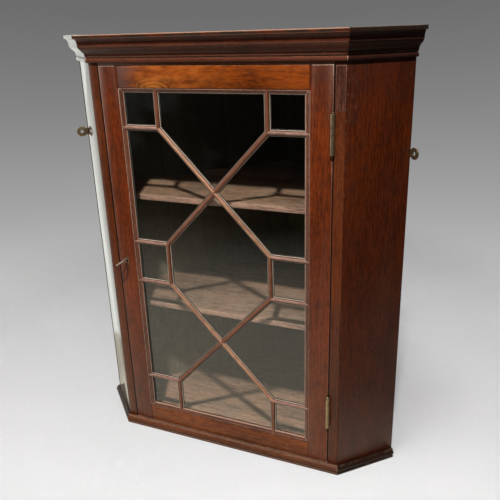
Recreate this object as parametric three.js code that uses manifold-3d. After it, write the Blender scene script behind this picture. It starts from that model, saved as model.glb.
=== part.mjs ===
// Glazed corner cupboard that hangs where two walls of a room meet.
// Millimetres. +X is to the right seen from the front, +Y to the back and +Z up.
// The origin is the middle of the plan's bounding box, on the underside of the base.
import * as THREE from 'three';
import { mergeVertices } from 'three/addons/utils/BufferGeometryUtils.js';
import Module from 'manifold-3d';

const wasm = await Module();
wasm.setup();

// Gaps and cuts
const jointGap = 0.3; // between pieces that are glued, nailed or screwed together
const runningGap = 0.3; // round a pin in its bore and a bolt in its channel
const cutOverrun = 5; // how far a cut runs past the face that it opens

// Case
const frontWidth = 553; // between the two front corners
const returnDepth = 146; // along each slanted side, from the front corner to the wall
const openingHeight = 870; // from the bottom board up to the top board
const caseThickness = 18; // posts and returns, where they are mitred together
const postFaceWidth = 22.4;
const postDepth = 30;
const stopWidth = 8; // lip on each post that the closed door rests against
const stopGap = 0.5;
const topBoardThickness = 18;
const bottomBoardThickness = 22;
const shelfThickness = 13;
const shelfSetback = 45;
const upperShelfHeight = 585; // top faces, above the bottom board
const lowerShelfHeight = 316;
const backThickness = 10;
const housingDepth = 5; // boards and shelves are let into the returns
const caseDrop = 10; // the case stops short of the cornice's top

// Cornice, from the bead at its foot up to the fillet at its top
const corniceLift = 4.2; // the bead's underside, above the top board's underside
const beadHeight = 9.5;
const beadOut = 6.5;
const quirkHeight = 2;
const quirkOut = 3.5;
const stepHeight = 3.5;
const stepOut = 6;
const ogeeHeight = 17.5;
const ogeeOut = 18.5;
const filletHeight = 4;
const filletOut = 19.5;
const cavettoHeight = 11.5;
const cavettoOut = 26.5;
const crownHeight = 7.5;
const crownOut = 28;

// Base moulding, as high as the bottom board is thick
const baseFilletHeight = 3.5;
const baseFilletOut = 5;
const baseNoseOut = 10;
const baseFootHeight = 5;
const baseFootOut = 8;
const baseQuirkHeight = 2;

// Door
const doorThickness = 20;
const doorSideGap = 1.6;
const doorEndGap = 1.5;
const stileWidth = 45; // flat faces, without the moulding
const topRailHeight = 43.5;
const bottomRailHeight = 41;
const mouldingWidth = 10;
const mouldingDepth = 6; // from the door's face back to the glass
const mouldingFillet = 1.5;
const mouldingLip = 1.8;
const mouldingQuirk = 0.8;
const rebateWidth = 8;
const tenonLength = 28;
const tenonThickness = 7;
const tenonFront = 8.5;
const tenonInset = 6;

// Glazing bars and panes
const barWidth = 12;
const barNoseWidth = 8.4;
const barNoseDepth = 4;
const barFinWidth = 3;
const barFinDepth = 10;
const cornerPaneWidth = 75.5; // from the moulding to the middle of the bar
const topPaneHeight = 72.4;
const footPaneHeight = 78.8;
const middlePaneHeight = 96.2;
const glassThickness = 2;
const glassClearance = 1;

// Hinges
const hingeHeight = 76;
const hingeLeafWidth = 17;
const hingeLeafThickness = 1.5;
const knuckleRadius = 4.5;
const knuckleCount = 5;
const pinRadius = 2;
const finialRadius = 3;
const finialHeight = 4;
const upperHingeDrop = 123.5; // hinge middle, below the door's top
const lowerHingeRise = 136; // hinge middle, above the door's foot

// Lock and key
const keyRise = 439.5; // keyhole, above the bottom board
const keyInset = 20.5; // keyhole, from the door's edge
const keyShaftRadius = 2.5;
const keyShaftOut = 14;
const keyShaftIn = 16;
const keyCollarRadius = 3.8;
const keyCollarLength = 3;
const keyBowLength = 26;
const keyBowHeight = 22;
const keyBowWidth = 4;
const keyBowThickness = 3;
const keyBitReach = 9;
const keyBitLength = 5;
const keyBitThickness = 2.4;
const keyTurned = 57; // degrees past upright, as the key was left in the lock
const keyholeClearance = 0.6;
const lockWidth = 40;
const lockFront = 9.5;
const lockBelowKey = 22;
const lockAboveKey = 30;
const lockWall = 1.4;
const boltLength = 30;
const boltHeight = 10;
const boltThickness = 5;
const boltFront = 12;
const boltInset = 0.5;
const boltThrow = 8;
const mortiseSpare = 1.2;

// Hanging plates
const eyeRadius = 12;
const eyeHoleRadius = 4;
const eyeOut = 14; // eye's centre, out from the side
const plateIn = 45;
const plateHeight = 16;
const plateThickness = 2.5;
const leftPlateRise = 713; // above the bottom board
const rightPlateRise = 698;

// Smoothness of round stretches
const profileSteps = 5;
const roundSides = 16;

// Levels and distances that follow from the sizes above
const halfFront = frontWidth / 2;
const openHalf = halfFront - postFaceWidth;
const doorHalf = openHalf - doorSideGap;
const floorLevel = bottomBoardThickness;
const topLevel = floorLevel + openingHeight;
const doorBottom = floorLevel + doorEndGap;
const doorTop = topLevel - doorEndGap;
const corniceBottom = topLevel + corniceLift;
const corniceTop = corniceBottom + beadHeight + quirkHeight + stepHeight + ogeeHeight + filletHeight
  + cavettoHeight + crownHeight;
const caseTop = corniceTop - caseDrop;
const mitreSlope = Math.tan(Math.PI / 8);
const diagonal = Math.SQRT2;
const wallLength = halfFront * diagonal + returnDepth;
const backMost = halfFront + returnDepth * diagonal;
const frontMost = -Math.max(keyShaftOut + keyBowLength, crownOut);

// Colours and finishes
const mahoganyColour = 0x5a2416;
const sideColour = 0x45201a;
const pineColour = 0x6b5a48;
const glassColour = 0xdfe8e2;
const brassColour = 0x9c8455;
const steelColour = 0x4a4038;

function finish(color, roughness, metalness) {
  return new THREE.MeshStandardMaterial({ color, roughness, metalness, flatShading: true });
}

function polishedWood(colour) {
  return finish(colour, 0.35, 0);
}

function plainWood() {
  return finish(pineColour, 0.85, 0);
}

function oldMetal(colour) {
  return finish(colour, 0.45, 0.9);
}

function clearGlass() {
  return new THREE.MeshStandardMaterial({
    color: glassColour, roughness: 0.05, metalness: 0, transparent: true, opacity: 0.3, flatShading: true,
  });
}

// Points of part of an ellipse, by angle in turns.
function arc([acrossCentre, upCentre], acrossRadius, upRadius, fromTurn, toTurn, steps) {
  return Array.from({ length: steps + 1 }, (_, index) => {
    const angle = 2 * Math.PI * (fromTurn + (toTurn - fromTurn) * index / steps);
    return [acrossCentre + acrossRadius * Math.cos(angle), upCentre + upRadius * Math.sin(angle)];
  });
}

function oval(centre, acrossRadius, upRadius) {
  return arc(centre, acrossRadius, upRadius, 0, 1 - 1 / roundSides, roundSides - 1);
}

// An outline from its points, with at most one hole.
function outlined(points, holePoints) {
  const vectors = (list) => list.map(([across, up]) => new THREE.Vector2(across, up));
  const shape = new THREE.Shape(vectors(points));
  if (holePoints) {
    shape.holes.push(new THREE.Path(vectors(holePoints)));
  }
  return shape;
}

// An outline is a list of points, or a shape that already has its hole.
function extruded(outline, length) {
  const shape = outline instanceof THREE.Shape ? outline : outlined(outline);
  return new THREE.ExtrudeGeometry(shape, { depth: length, bevelEnabled: false });
}

// A plan outline in X and Y, from one level up to another.
function upright(outline, bottom, top) {
  return extruded(outline, top - bottom).translate(0, 0, bottom);
}

// An outline in X and Z, from one distance to the back to another.
function facing(outline, front, back) {
  const axes = new THREE.Matrix4().set(1, 0, 0, 0, 0, 0, -1, back, 0, 1, 0, 0, 0, 0, 0, 1);
  return extruded(outline, back - front).applyMatrix4(axes);
}

// A section in Y and Z, from one distance to the right to another.
function lengthwise(outline, start, end) {
  const axes = new THREE.Matrix4().set(0, 0, 1, start, 1, 0, 0, 0, 0, 1, 0, 0, 0, 0, 0, 1);
  return extruded(outline, end - start).applyMatrix4(axes);
}

function block([left, right], [front, back], [bottom, top]) {
  const geometry = new THREE.BoxGeometry(Math.abs(right - left), back - front, top - bottom);
  return geometry.translate((left + right) / 2, (front + back) / 2, (bottom + top) / 2);
}

// A round bar along Y.
function rod(radius, front, back) {
  const bar = new THREE.CylinderGeometry(radius, radius, back - front, roundSides);
  return bar.translate(0, (front + back) / 2, 0);
}

function toSolid(geometry) {
  const bare = geometry.clone();
  bare.deleteAttribute('normal');
  bare.deleteAttribute('uv');
  const merged = mergeVertices(bare);
  const triangles = Array.from({ length: merged.index.count / 3 }, (_, index) => {
    return merged.index.array.slice(3 * index, 3 * index + 3);
  });
  const fullTriangles = triangles.filter((triangle) => new Set(triangle).size === 3);
  return new wasm.Manifold(new wasm.Mesh({
    numProp: 3,
    vertProperties: new Float32Array(merged.attributes.position.array),
    triVerts: new Uint32Array(fullTriangles.flatMap((triangle) => [...triangle])),
  }));
}

function toGeometry(solid) {
  const mesh = solid.getMesh();
  const geometry = new THREE.BufferGeometry();
  geometry.setAttribute('position', new THREE.BufferAttribute(mesh.vertProperties, 3));
  geometry.setIndex(new THREE.BufferAttribute(mesh.triVerts, 1));
  geometry.computeVertexNormals();
  return geometry;
}

function cut(geometry, tools) {
  return toGeometry(tools.reduce((solid, tool) => solid.subtract(toSolid(tool)), toSolid(geometry)));
}

function joined(pieces) {
  return toGeometry(pieces.slice(1).reduce((solid, piece) => solid.add(toSolid(piece)), toSolid(pieces[0])));
}

function common(first, second) {
  return toGeometry(toSolid(first).intersect(toSolid(second)));
}

function addPiece(parent, name, geometry, material) {
  const mesh = new THREE.Mesh(geometry, material);
  mesh.name = name;
  parent.add(mesh);
}

const cupboard = new THREE.Group();
cupboard.position.set(0, -(frontMost + backMost) / 2, 0);

// Each slanted side has a group of its own, turned 45 degrees about its front corner. In it the return
// runs along X to the wall, its outer face is Y = 0 and the wall runs along Y.
const sides = [{ name: 'left', sign: -1 }, { name: 'right', sign: 1 }];
sides.forEach((side) => {
  side.group = new THREE.Group();
  side.group.position.set(side.sign * halfFront, 0, 0);
  side.group.rotation.z = side.sign * Math.PI / 4;
  cupboard.add(side.group);
});

function mirrored(points, sign) {
  return points.map(([x, y]) => [sign * x, y]);
}

// A plan outline that is alike on both sides, from the points of its right half.
function bothSides(points) {
  return [...points, ...mirrored(points, -1).reverse()];
}

// Boards and shelves: let into the returns, cut to the back boards.
function boardPlan(frontPoints) {
  const frontLevel = frontPoints[frontPoints.length - 1][1];
  const returnLine = halfFront - (caseThickness - housingDepth + jointGap) * diagonal;
  const wallLine = halfFront + (returnDepth - backThickness - jointGap) * diagonal;
  const corner = [(returnLine + wallLine) / 2, (wallLine - returnLine) / 2];
  const rightHalf = [...frontPoints, [frontLevel + returnLine, frontLevel], corner];
  return [...rightHalf, [0, wallLine], ...mirrored(rightHalf, -1).reverse()];
}

const boards = [
  { name: 'bottom_board', bottom: 0, top: floorLevel, front: postDepth + jointGap, notched: true },
  { name: 'shelf_lower', top: floorLevel + lowerShelfHeight, front: shelfSetback },
  { name: 'shelf_upper', top: floorLevel + upperShelfHeight, front: shelfSetback },
  {
    name: 'top_board',
    bottom: topLevel,
    top: topLevel + topBoardThickness,
    front: postDepth + jointGap,
    notched: true,
  },
];
boards.forEach((board) => {
  board.bottom = board.bottom ?? board.top - shelfThickness;
});

function addBoard(board) {
  const stopLevel = doorThickness + stopGap - jointGap;
  const postNotch = [
    [openHalf - jointGap, 0],
    [openHalf - jointGap, stopLevel],
    [openHalf - stopWidth - jointGap, stopLevel],
    [openHalf - stopWidth - jointGap, board.front],
  ];
  const frontPoints = board.notched ? postNotch : [[0, board.front]];
  addPiece(cupboard, board.name, upright(boardPlan(frontPoints), board.bottom, board.top), plainWood());
}

// Return: mitred to the post in front, grooved for the boards, notched for the hanging plate.
function addReturn(side) {
  const mitreEnd = [caseThickness * mitreSlope, caseThickness];
  const plan = [[0, 0], [returnDepth, 0], [returnDepth, caseThickness], mitreEnd];
  const grooves = boards.map((board) => {
    const start = board.front * diagonal - caseThickness - jointGap;
    return block(
      [side.sign * start, side.sign * (returnDepth - backThickness)],
      [caseThickness - housingDepth, caseThickness + cutOverrun],
      [board.bottom - jointGap, board.top + jointGap],
    );
  });
  const panel = upright(mirrored(plan, side.sign), 0, caseTop);
  const geometry = cut(panel, [...grooves, plateNotch(side)]);
  addPiece(side.group, `return_${side.name}`, geometry, polishedWood(sideColour));
}

// Front post: narrow face, mitre to the return, and a lip behind the door.
function postPlan(sign) {
  const returnFace = halfFront - (caseThickness + jointGap) * diagonal;
  const stopLevel = doorThickness + stopGap;
  return mirrored([
    [openHalf, 0],
    [halfFront - jointGap, 0],
    [halfFront - caseThickness * mitreSlope - jointGap * diagonal, caseThickness],
    [returnFace + postDepth, postDepth],
    [openHalf - stopWidth, postDepth],
    [openHalf - stopWidth, stopLevel],
    [openHalf, stopLevel],
  ], sign);
}

function addPost(side, cuts) {
  const geometry = cut(upright(postPlan(side.sign), 0, caseTop), cuts);
  addPiece(cupboard, `post_${side.name}`, geometry, polishedWood(mahoganyColour));
}

// Back boards: one against each wall. The right one runs into the corner, the left one stops against it.
function addBack(side) {
  const end = side.sign > 0 ? wallLength : wallLength - backThickness - jointGap;
  const board = block(
    [side.sign * (returnDepth - backThickness), side.sign * returnDepth],
    [caseThickness + jointGap, end],
    [0, caseTop],
  );
  addPiece(side.group, `back_board_${side.name}`, cut(board, [plateNotch(side)]), plainWood());
}

// Cornice section, as distance out from the case and level.
function corniceSection() {
  const beadRadius = beadHeight / 2;
  const quirkBottom = corniceBottom + beadHeight;
  const stepBottom = quirkBottom + quirkHeight;
  const ogeeBottom = stepBottom + stepHeight;
  const filletBottom = ogeeBottom + ogeeHeight;
  const cavettoBottom = filletBottom + filletHeight;
  const crownBottom = cavettoBottom + cavettoHeight;
  const ogee = Array.from({ length: profileSteps }, (_, index) => {
    const riseShare = (index + 1) / profileSteps;
    const outShare = THREE.MathUtils.smoothstep(riseShare, 0, 1);
    return [stepOut + (ogeeOut - stepOut) * outShare, ogeeBottom + ogeeHeight * riseShare];
  });
  const beadCentre = [beadOut - beadRadius, corniceBottom + beadRadius];
  return [
    [jointGap, corniceBottom],
    ...arc(beadCentre, beadRadius, beadRadius, -1 / 4, 1 / 4, profileSteps + 1),
    [quirkOut, quirkBottom],
    [quirkOut, stepBottom],
    [stepOut, stepBottom],
    [stepOut, ogeeBottom],
    ...ogee,
    [filletOut, filletBottom],
    ...arc([cavettoOut, cavettoBottom], cavettoOut - filletOut, cavettoHeight, 1 / 2, 1 / 4, profileSteps),
    [crownOut, crownBottom],
    [crownOut, corniceTop],
    [jointGap, corniceTop],
  ];
}

// Base moulding section: fillet, rounded nose, quirk and foot.
function baseSection() {
  const noseBottom = baseFootHeight + baseQuirkHeight;
  const noseTop = bottomBoardThickness - baseFilletHeight;
  const noseRadius = (noseTop - noseBottom) / 2;
  const noseCentre = [baseNoseOut - noseRadius, noseBottom + noseRadius];
  return [
    [jointGap, 0],
    [baseFootOut, 0],
    [baseFootOut, baseFootHeight],
    [baseFilletOut, baseFootHeight],
    [baseFilletOut, noseBottom],
    ...arc(noseCentre, noseRadius, noseRadius, -1 / 4, 1 / 4, profileSteps + 1),
    [baseFilletOut, noseTop],
    [baseFilletOut, bottomBoardThickness],
    [jointGap, bottomBoardThickness],
  ];
}

// A moulding along X with its back to the case. Each end is cut square or mitred to the next length.
function moulding(section, start, startMitre, end, endMitre) {
  const geometry = lengthwise(section.map(([out, level]) => [-out, level]), start, end);
  const position = geometry.attributes.position;
  const middle = (start + end) / 2;
  for (let index = 0; index < position.count; index += 1) {
    const out = -position.getY(index);
    const x = position.getX(index);
    const shift = x < middle ? -out * mitreSlope * startMitre : out * mitreSlope * endMitre;
    position.setX(index, x + shift);
  }
  return geometry;
}

function addMoulding(name, section) {
  const frontEnd = halfFront - jointGap;
  const front = moulding(section, -frontEnd, 1, frontEnd, 1);
  addPiece(cupboard, `${name}_front`, front, polishedWood(mahoganyColour));
  sides.forEach((side) => {
    const ends = side.sign > 0 ? [0, 1, returnDepth, 0] : [-returnDepth, 0, 0, 1];
    addPiece(side.group, `${name}_${side.name}`, moulding(section, ...ends), polishedWood(sideColour));
  });
}

// Door frame levels
const frameInner = doorHalf - stileWidth - mouldingWidth;
const frameOuter = doorHalf - stileWidth;
const sightBottom = doorBottom + bottomRailHeight;
const sightTop = doorTop - topRailHeight;
const innerBottom = sightBottom + mouldingWidth;
const innerTop = sightTop - mouldingWidth;

const door = new THREE.Group();
cupboard.add(door);

// Frame section, as distance in from the door's outer edge and depth: flat, quirk, round, lip and rebate.
function frameSection(flatWidth) {
  const roundDepth = mouldingDepth - mouldingFillet;
  const roundWidth = mouldingWidth - mouldingLip;
  return [
    [0, 0],
    [flatWidth, 0],
    ...arc([flatWidth, roundDepth], roundWidth, roundDepth - mouldingQuirk, -1 / 4, 0, profileSteps),
    [flatWidth + mouldingWidth, roundDepth],
    [flatWidth + mouldingWidth, mouldingDepth],
    [flatWidth + mouldingWidth - rebateWidth, mouldingDepth],
    [flatWidth + mouldingWidth - rebateWidth, doorThickness],
    [0, doorThickness],
  ];
}

function tenon(side, bottom, top, clearance) {
  return block(
    [side.sign * (frameOuter - cutOverrun), side.sign * (frameOuter + tenonLength + clearance)],
    [tenonFront - clearance, tenonFront + tenonThickness + clearance],
    [bottom + tenonInset - clearance, top - tenonInset + clearance],
  );
}

// A stile is full height. Its moulding is mitred where the rails meet it.
function stileBlank(side) {
  const section = frameSection(stileWidth).map(([inward, depth]) => [side.sign * (doorHalf - inward), depth]);
  const outline = mirrored([
    [doorHalf, doorBottom], [doorHalf, doorTop], [frameOuter, doorTop], [frameOuter, sightTop],
    [frameInner, innerTop], [frameInner, innerBottom], [frameOuter, sightBottom], [frameOuter, doorBottom],
  ], side.sign);
  const front = facing(outline, -cutOverrun, doorThickness + cutOverrun);
  const blank = common(upright(section, doorBottom, doorTop), front);
  const mortises = [[doorBottom, sightBottom], [sightTop, doorTop]].map(([bottom, top]) => {
    return tenon(side, bottom, top, jointGap);
  });
  return cut(blank, mortises);
}

function railBlank(edge, sight, inner) {
  const up = Math.sign(inner - edge);
  const section = frameSection(Math.abs(sight - edge)).map(([inward, depth]) => [depth, edge + up * inward]);
  const outline = bothSides([
    [frameOuter - jointGap, edge], [frameOuter - jointGap, sight], [frameInner - jointGap, inner],
  ]);
  return common(
    lengthwise(section, -doorHalf, doorHalf),
    facing(outline, -cutOverrun, doorThickness + cutOverrun),
  );
}

function addRail(name, edge, sight, inner) {
  const tenons = sides.map((side) => tenon(side, Math.min(edge, sight), Math.max(edge, sight), 0));
  addPiece(door, name, joined([railBlank(edge, sight, inner), ...tenons]), polishedWood(mahoganyColour));
}

// Lattice of the glazing bars
const nodeOut = frameInner - cornerPaneWidth;
const levelTop = innerTop - topPaneHeight;
const levelFoot = innerBottom + footPaneHeight;
const levelMiddle = (levelTop + levelFoot) / 2;
const levelUpper = levelMiddle + middlePaneHeight / 2;
const levelLower = levelMiddle - middlePaneHeight / 2;
const crossUpper = [0, (levelTop + levelUpper) / 2];
const crossLower = [0, (levelFoot + levelLower) / 2];

function latticeBars() {
  const levels = [levelTop, levelUpper, levelLower, levelFoot];
  const bars = [];
  const addBar = (name, from, to) => bars.push({ name, from, to });
  sides.forEach(({ name, sign }) => {
    const node = (level) => [sign * nodeOut, level];
    const farNode = (level) => [-sign * nodeOut, level];
    levels.forEach((level, index) => {
      addBar(`bar_level_${name}_${index + 1}`, [sign * frameInner, level], node(level));
    });
    const uprights = [[innerTop, levelTop], [levelUpper, levelLower], [levelFoot, innerBottom]];
    uprights.forEach(([top, bottom], index) => {
      addBar(`bar_upright_${name}_${index + 1}`, node(top), node(bottom));
    });
    addBar(`bar_slant_upper_${name}`, node(levelTop), farNode(levelUpper));
    addBar(`bar_slant_lower_${name}`, node(levelLower), farNode(levelFoot));
  });
  return bars;
}

// What is left of an outline on the far side of a line through a point.
function clipped(outline, [pointX, pointZ], [normalX, normalZ], offset) {
  const past = ([x, z]) => (x - pointX) * normalX + (z - pointZ) * normalZ - offset;
  return outline.flatMap((start, index) => {
    const end = outline[(index + 1) % outline.length];
    const share = past(start) / (past(start) - past(end));
    const crossing = [start[0] + (end[0] - start[0]) * share, start[1] + (end[1] - start[1]) * share];
    const crosses = past(start) * past(end) < 0;
    return [...(past(start) >= 0 ? [start] : []), ...(crosses ? [crossing] : [])];
  });
}

function direction([fromX, fromZ], [toX, toZ]) {
  const length = Math.hypot(toX - fromX, toZ - fromZ);
  return [(toX - fromX) / length, (toZ - fromZ) / length];
}

function samePoint([firstX, firstZ], [secondX, secondZ]) {
  return Math.hypot(firstX - secondX, firstZ - secondZ) < jointGap;
}

// A bar's outline from the front: a strip, mitred at each node where other bars meet it.
function barOutline(bar, bars) {
  const [alongX, alongZ] = direction(bar.from, bar.to);
  const half = barWidth / 2;
  const corner = ([x, z], along, across) => {
    return [x + alongX * along - alongZ * across, z + alongZ * along + alongX * across];
  };
  let outline = [
    corner(bar.from, -barWidth, -half), corner(bar.to, barWidth, -half),
    corner(bar.to, barWidth, half), corner(bar.from, -barWidth, half),
  ];
  [[bar.from, bar.to], [bar.to, bar.from]].forEach(([node, away]) => {
    const own = direction(node, away);
    bars.filter((other) => other !== bar).forEach((other) => {
      const ends = [[other.from, other.to], [other.to, other.from]];
      ends.filter(([near]) => samePoint(near, node)).forEach(([, far]) => {
        const next = direction(node, far);
        const normal = direction(next, own);
        outline = clipped(outline, node, normal, jointGap / 2);
      });
    });
  });
  outline = clipped(outline, [frameInner - jointGap, 0], [-1, 0], 0);
  outline = clipped(outline, [jointGap - frameInner, 0], [1, 0], 0);
  outline = clipped(outline, [0, innerTop - jointGap], [0, -1], 0);
  return clipped(outline, [0, innerBottom + jointGap], [0, 1], 0);
}

// Bar section, as distance across and depth: fillets, a round nose, and a fin between the panes.
function barSection() {
  const filletDepth = mouldingDepth - mouldingFillet;
  const finBack = mouldingDepth + barFinDepth;
  return [
    [barFinWidth / 2, finBack],
    [-barFinWidth / 2, finBack],
    [-barFinWidth / 2, mouldingDepth],
    [-barWidth / 2, mouldingDepth],
    [-barWidth / 2, filletDepth],
    ...arc([0, filletDepth], barNoseWidth / 2, barNoseDepth, 1 / 2, 1, profileSteps + 1),
    [barWidth / 2, filletDepth],
    [barWidth / 2, mouldingDepth],
    [barFinWidth / 2, mouldingDepth],
  ];
}

function alongBar(bar, section) {
  const [alongX, alongZ] = direction(bar.from, bar.to);
  const length = Math.hypot(bar.to[0] - bar.from[0], bar.to[1] - bar.from[1]) + 2 * barWidth;
  const start = [bar.from[0] - alongX * barWidth, bar.from[1] - alongZ * barWidth];
  const axes = new THREE.Matrix4().set(
    alongZ, 0, alongX, start[0],
    0, 1, 0, 0,
    -alongX, 0, alongZ, start[1],
    0, 0, 0, 1,
  );
  return extruded(section, length).applyMatrix4(axes);
}

function strip(width, front, back) {
  return [[-width / 2, front], [width / 2, front], [width / 2, back], [-width / 2, back]];
}

// Two slanting bars halve into each other: the left one keeps its nose, the right one keeps its fin.
function halving(bar, bars) {
  const twinName = bar.name.replace(/left|right/, (side) => (side === 'left' ? 'right' : 'left'));
  const twin = bars.find((other) => other.name === twinName);
  const keepsNose = bar.name.endsWith('left');
  const finBack = mouldingDepth + barFinDepth + cutOverrun;
  return keepsNose
    ? alongBar(twin, strip(barFinWidth + 2 * jointGap, mouldingDepth, finBack))
    : alongBar(twin, strip(barWidth + 2 * jointGap, -cutOverrun, mouldingDepth + jointGap));
}

function addBars() {
  const bars = latticeBars();
  bars.forEach((bar) => {
    const whole = common(
      alongBar(bar, barSection()),
      facing(barOutline(bar, bars), -cutOverrun, mouldingDepth + barFinDepth + cutOverrun),
    );
    const geometry = bar.name.includes('slant') ? cut(whole, [halving(bar, bars)]) : whole;
    addPiece(door, bar.name, geometry, polishedWood(mahoganyColour));
  });
}

// Panes lie behind the bars' fillets, between their fins.
function paneCorners() {
  const node = (sign, level) => [sign * nodeOut, level];
  const panes = {
    pane_centre_top: [
      node(-1, innerTop), node(-1, levelTop), crossUpper, node(1, levelTop), node(1, innerTop),
    ],
    pane_centre_middle: [
      node(-1, levelUpper), node(-1, levelLower), crossLower,
      node(1, levelLower), node(1, levelUpper), crossUpper,
    ],
    pane_centre_foot: [
      node(1, innerBottom), node(1, levelFoot), crossLower, node(-1, levelFoot), node(-1, innerBottom),
    ],
  };
  const corner = (sign, top, bottom) => [
    [sign * frameInner, top], [sign * frameInner, bottom], node(sign, bottom), node(sign, top),
  ];
  const flank = (sign, top, bottom, cross) => [
    [sign * frameInner, top], [sign * frameInner, bottom], node(sign, bottom), cross, node(sign, top),
  ];
  sides.forEach(({ name, sign }) => {
    panes[`pane_${name}_1`] = corner(sign, innerTop, levelTop);
    panes[`pane_${name}_2`] = flank(sign, levelTop, levelUpper, crossUpper);
    panes[`pane_${name}_3`] = corner(sign, levelUpper, levelLower);
    panes[`pane_${name}_4`] = flank(sign, levelLower, levelFoot, crossLower);
    panes[`pane_${name}_5`] = corner(sign, levelFoot, innerBottom);
  });
  return panes;
}

function isOnFrame([startX, startZ], [endX, endZ]) {
  const besideStile = startX === endX && Math.abs(startX) === frameInner;
  const besideRail = startZ === endZ && [innerTop, innerBottom].includes(startZ);
  return besideStile || besideRail;
}

// Each edge moves in from the bar's middle line, or out into the frame's rebate.
function paneOutline(corners) {
  const average = (index) => corners.reduce((sum, corner) => sum + corner[index], 0) / corners.length;
  const centre = [average(0), average(1)];
  const reach = doorHalf + openingHeight;
  const square = [[-reach, -reach], [reach, -reach], [reach, reach], [-reach, reach]];
  return corners.reduce((outline, corner, index) => {
    const next = corners[(index + 1) % corners.length];
    const [alongX, alongZ] = direction(corner, next);
    const facingCentre = Math.sign((centre[0] - corner[0]) * -alongZ + (centre[1] - corner[1]) * alongX);
    const normal = [-alongZ * facingCentre, alongX * facingCentre];
    const inset = isOnFrame(corner, next) ? glassClearance - rebateWidth : barFinWidth / 2 + glassClearance;
    return clipped(outline, corner, normal, inset);
  }, square);
}

function addPanes() {
  const front = mouldingDepth + jointGap;
  Object.entries(paneCorners()).forEach(([name, corners]) => {
    addPiece(door, name, facing(paneOutline(corners), front, front + glassThickness), clearGlass());
  });
}

// Hinges: the axis stands clear of the front, midway in the gap between door and post.
const hingeX = doorHalf + doorSideGap / 2;
const hingeY = -(knuckleRadius + jointGap);
const hinges = [
  { name: 'upper', middle: doorTop - upperHingeDrop },
  { name: 'lower', middle: doorBottom + lowerHingeRise },
];

function knuckleSpan(hinge, index) {
  const height = hingeHeight / knuckleCount;
  const bottom = hinge.middle - hingeHeight / 2 + index * height;
  return [bottom + jointGap / 2, bottom + height - jointGap / 2];
}

function disc(radius) {
  return oval([hingeX, hingeY], radius, radius);
}

function finial(hinge, up) {
  const radiusShares = [0, 0.7, 1, 0.7, 0];
  const profile = radiusShares.map((share, index) => {
    const rise = finialHeight * index / (radiusShares.length - 1);
    return new THREE.Vector2(finialRadius * share, rise);
  });
  const knob = new THREE.LatheGeometry(profile, roundSides);
  knob.rotateX(up * Math.PI / 2);
  return knob.translate(hingeX, hingeY, hinge.middle + up * (hingeHeight / 2 - jointGap));
}

// A leaf: its plate in the recess, and its tabs that reach round to its own knuckles.
function hingeLeaf(hinge, plateSides, tabFront, ownKnuckles, knuckleShape) {
  const half = hingeHeight / 2 - jointGap / 2;
  const plate = block(plateSides, [0, hingeLeafWidth], [hinge.middle - half, hinge.middle + half]);
  const parts = ownKnuckles.flatMap((index) => {
    const span = knuckleSpan(hinge, index);
    return [block(plateSides, [tabFront, jointGap], span), upright(knuckleShape, ...span)];
  });
  return [plate, ...parts];
}

function addHinge(hinge) {
  const indices = [...Array(knuckleCount).keys()];
  const boreRadius = pinRadius + runningGap;
  const caseSides = [openHalf, openHalf + hingeLeafThickness];
  const doorSides = [doorHalf - hingeLeafThickness, doorHalf];
  const caseKnuckles = indices.filter((index) => index % 2 === 0);
  const doorKnuckles = indices.filter((index) => index % 2 === 1);
  const pinHalf = hingeHeight / 2 - jointGap;
  const pin = upright(disc(pinRadius), hinge.middle - pinHalf, hinge.middle + pinHalf);
  const caseParts = hingeLeaf(hinge, caseSides, hingeY, caseKnuckles, disc(knuckleRadius));
  const bored = outlined(disc(knuckleRadius), disc(boreRadius));
  const doorParts = hingeLeaf(hinge, doorSides, hingeY + boreRadius, doorKnuckles, bored);
  const finials = [-1, 1].map((up) => finial(hinge, up));
  const caseLeaf = joined([...caseParts, pin, ...finials]);
  addPiece(cupboard, `hinge_${hinge.name}_case_leaf`, caseLeaf, oldMetal(brassColour));
  addPiece(door, `hinge_${hinge.name}_door_leaf`, joined(doorParts), oldMetal(brassColour));
}

function hingeRecess(hinge, [left, right]) {
  const half = hingeHeight / 2 + jointGap;
  const back = hingeLeafWidth + jointGap;
  return block([left, right], [-cutOverrun, back], [hinge.middle - half, hinge.middle + half]);
}

// Lock, bolt and key. The bolt lies above the key, clear of the circle that the bit sweeps.
const keyX = keyInset - doorHalf;
const keyLevel = floorLevel + keyRise;
const sweepRadius = keyBitReach + keyholeClearance;
const boltBottom = keyLevel + sweepRadius + lockWall;
const boltLeft = boltInset - doorHalf;

function boltBlock(spare, left, right) {
  return block(
    [left, right],
    [boltFront - spare, boltFront + boltThickness + spare],
    [boltBottom - spare, boltBottom + boltHeight + spare],
  );
}

function lockBlock(spare) {
  return block(
    [-doorHalf, lockWidth - doorHalf + spare],
    [lockFront - spare, doorThickness],
    [keyLevel - lockBelowKey - spare, keyLevel + lockAboveKey + spare],
  );
}

function atKey(geometry) {
  return geometry.translate(keyX, 0, keyLevel);
}

function addLock() {
  const sweep = atKey(rod(sweepRadius, lockFront - cutOverrun, keyShaftIn + keyholeClearance));
  const channel = boltBlock(runningGap, -doorHalf - cutOverrun, boltLeft + boltLength + runningGap);
  addPiece(door, 'lock_case', cut(lockBlock(0), [sweep, channel]), oldMetal(brassColour));
  addPiece(door, 'lock_bolt', boltBlock(0, boltLeft, boltLeft + boltLength), oldMetal(brassColour));
}

function keyBow() {
  const centre = [-(keyShaftOut + keyBowLength / 2), 0];
  const rim = oval(centre, keyBowLength / 2, keyBowHeight / 2);
  const eye = oval(centre, keyBowLength / 2 - keyBowWidth, keyBowHeight / 2 - keyBowWidth);
  return lengthwise(outlined(rim, eye), -keyBowThickness / 2, keyBowThickness / 2);
}

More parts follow.
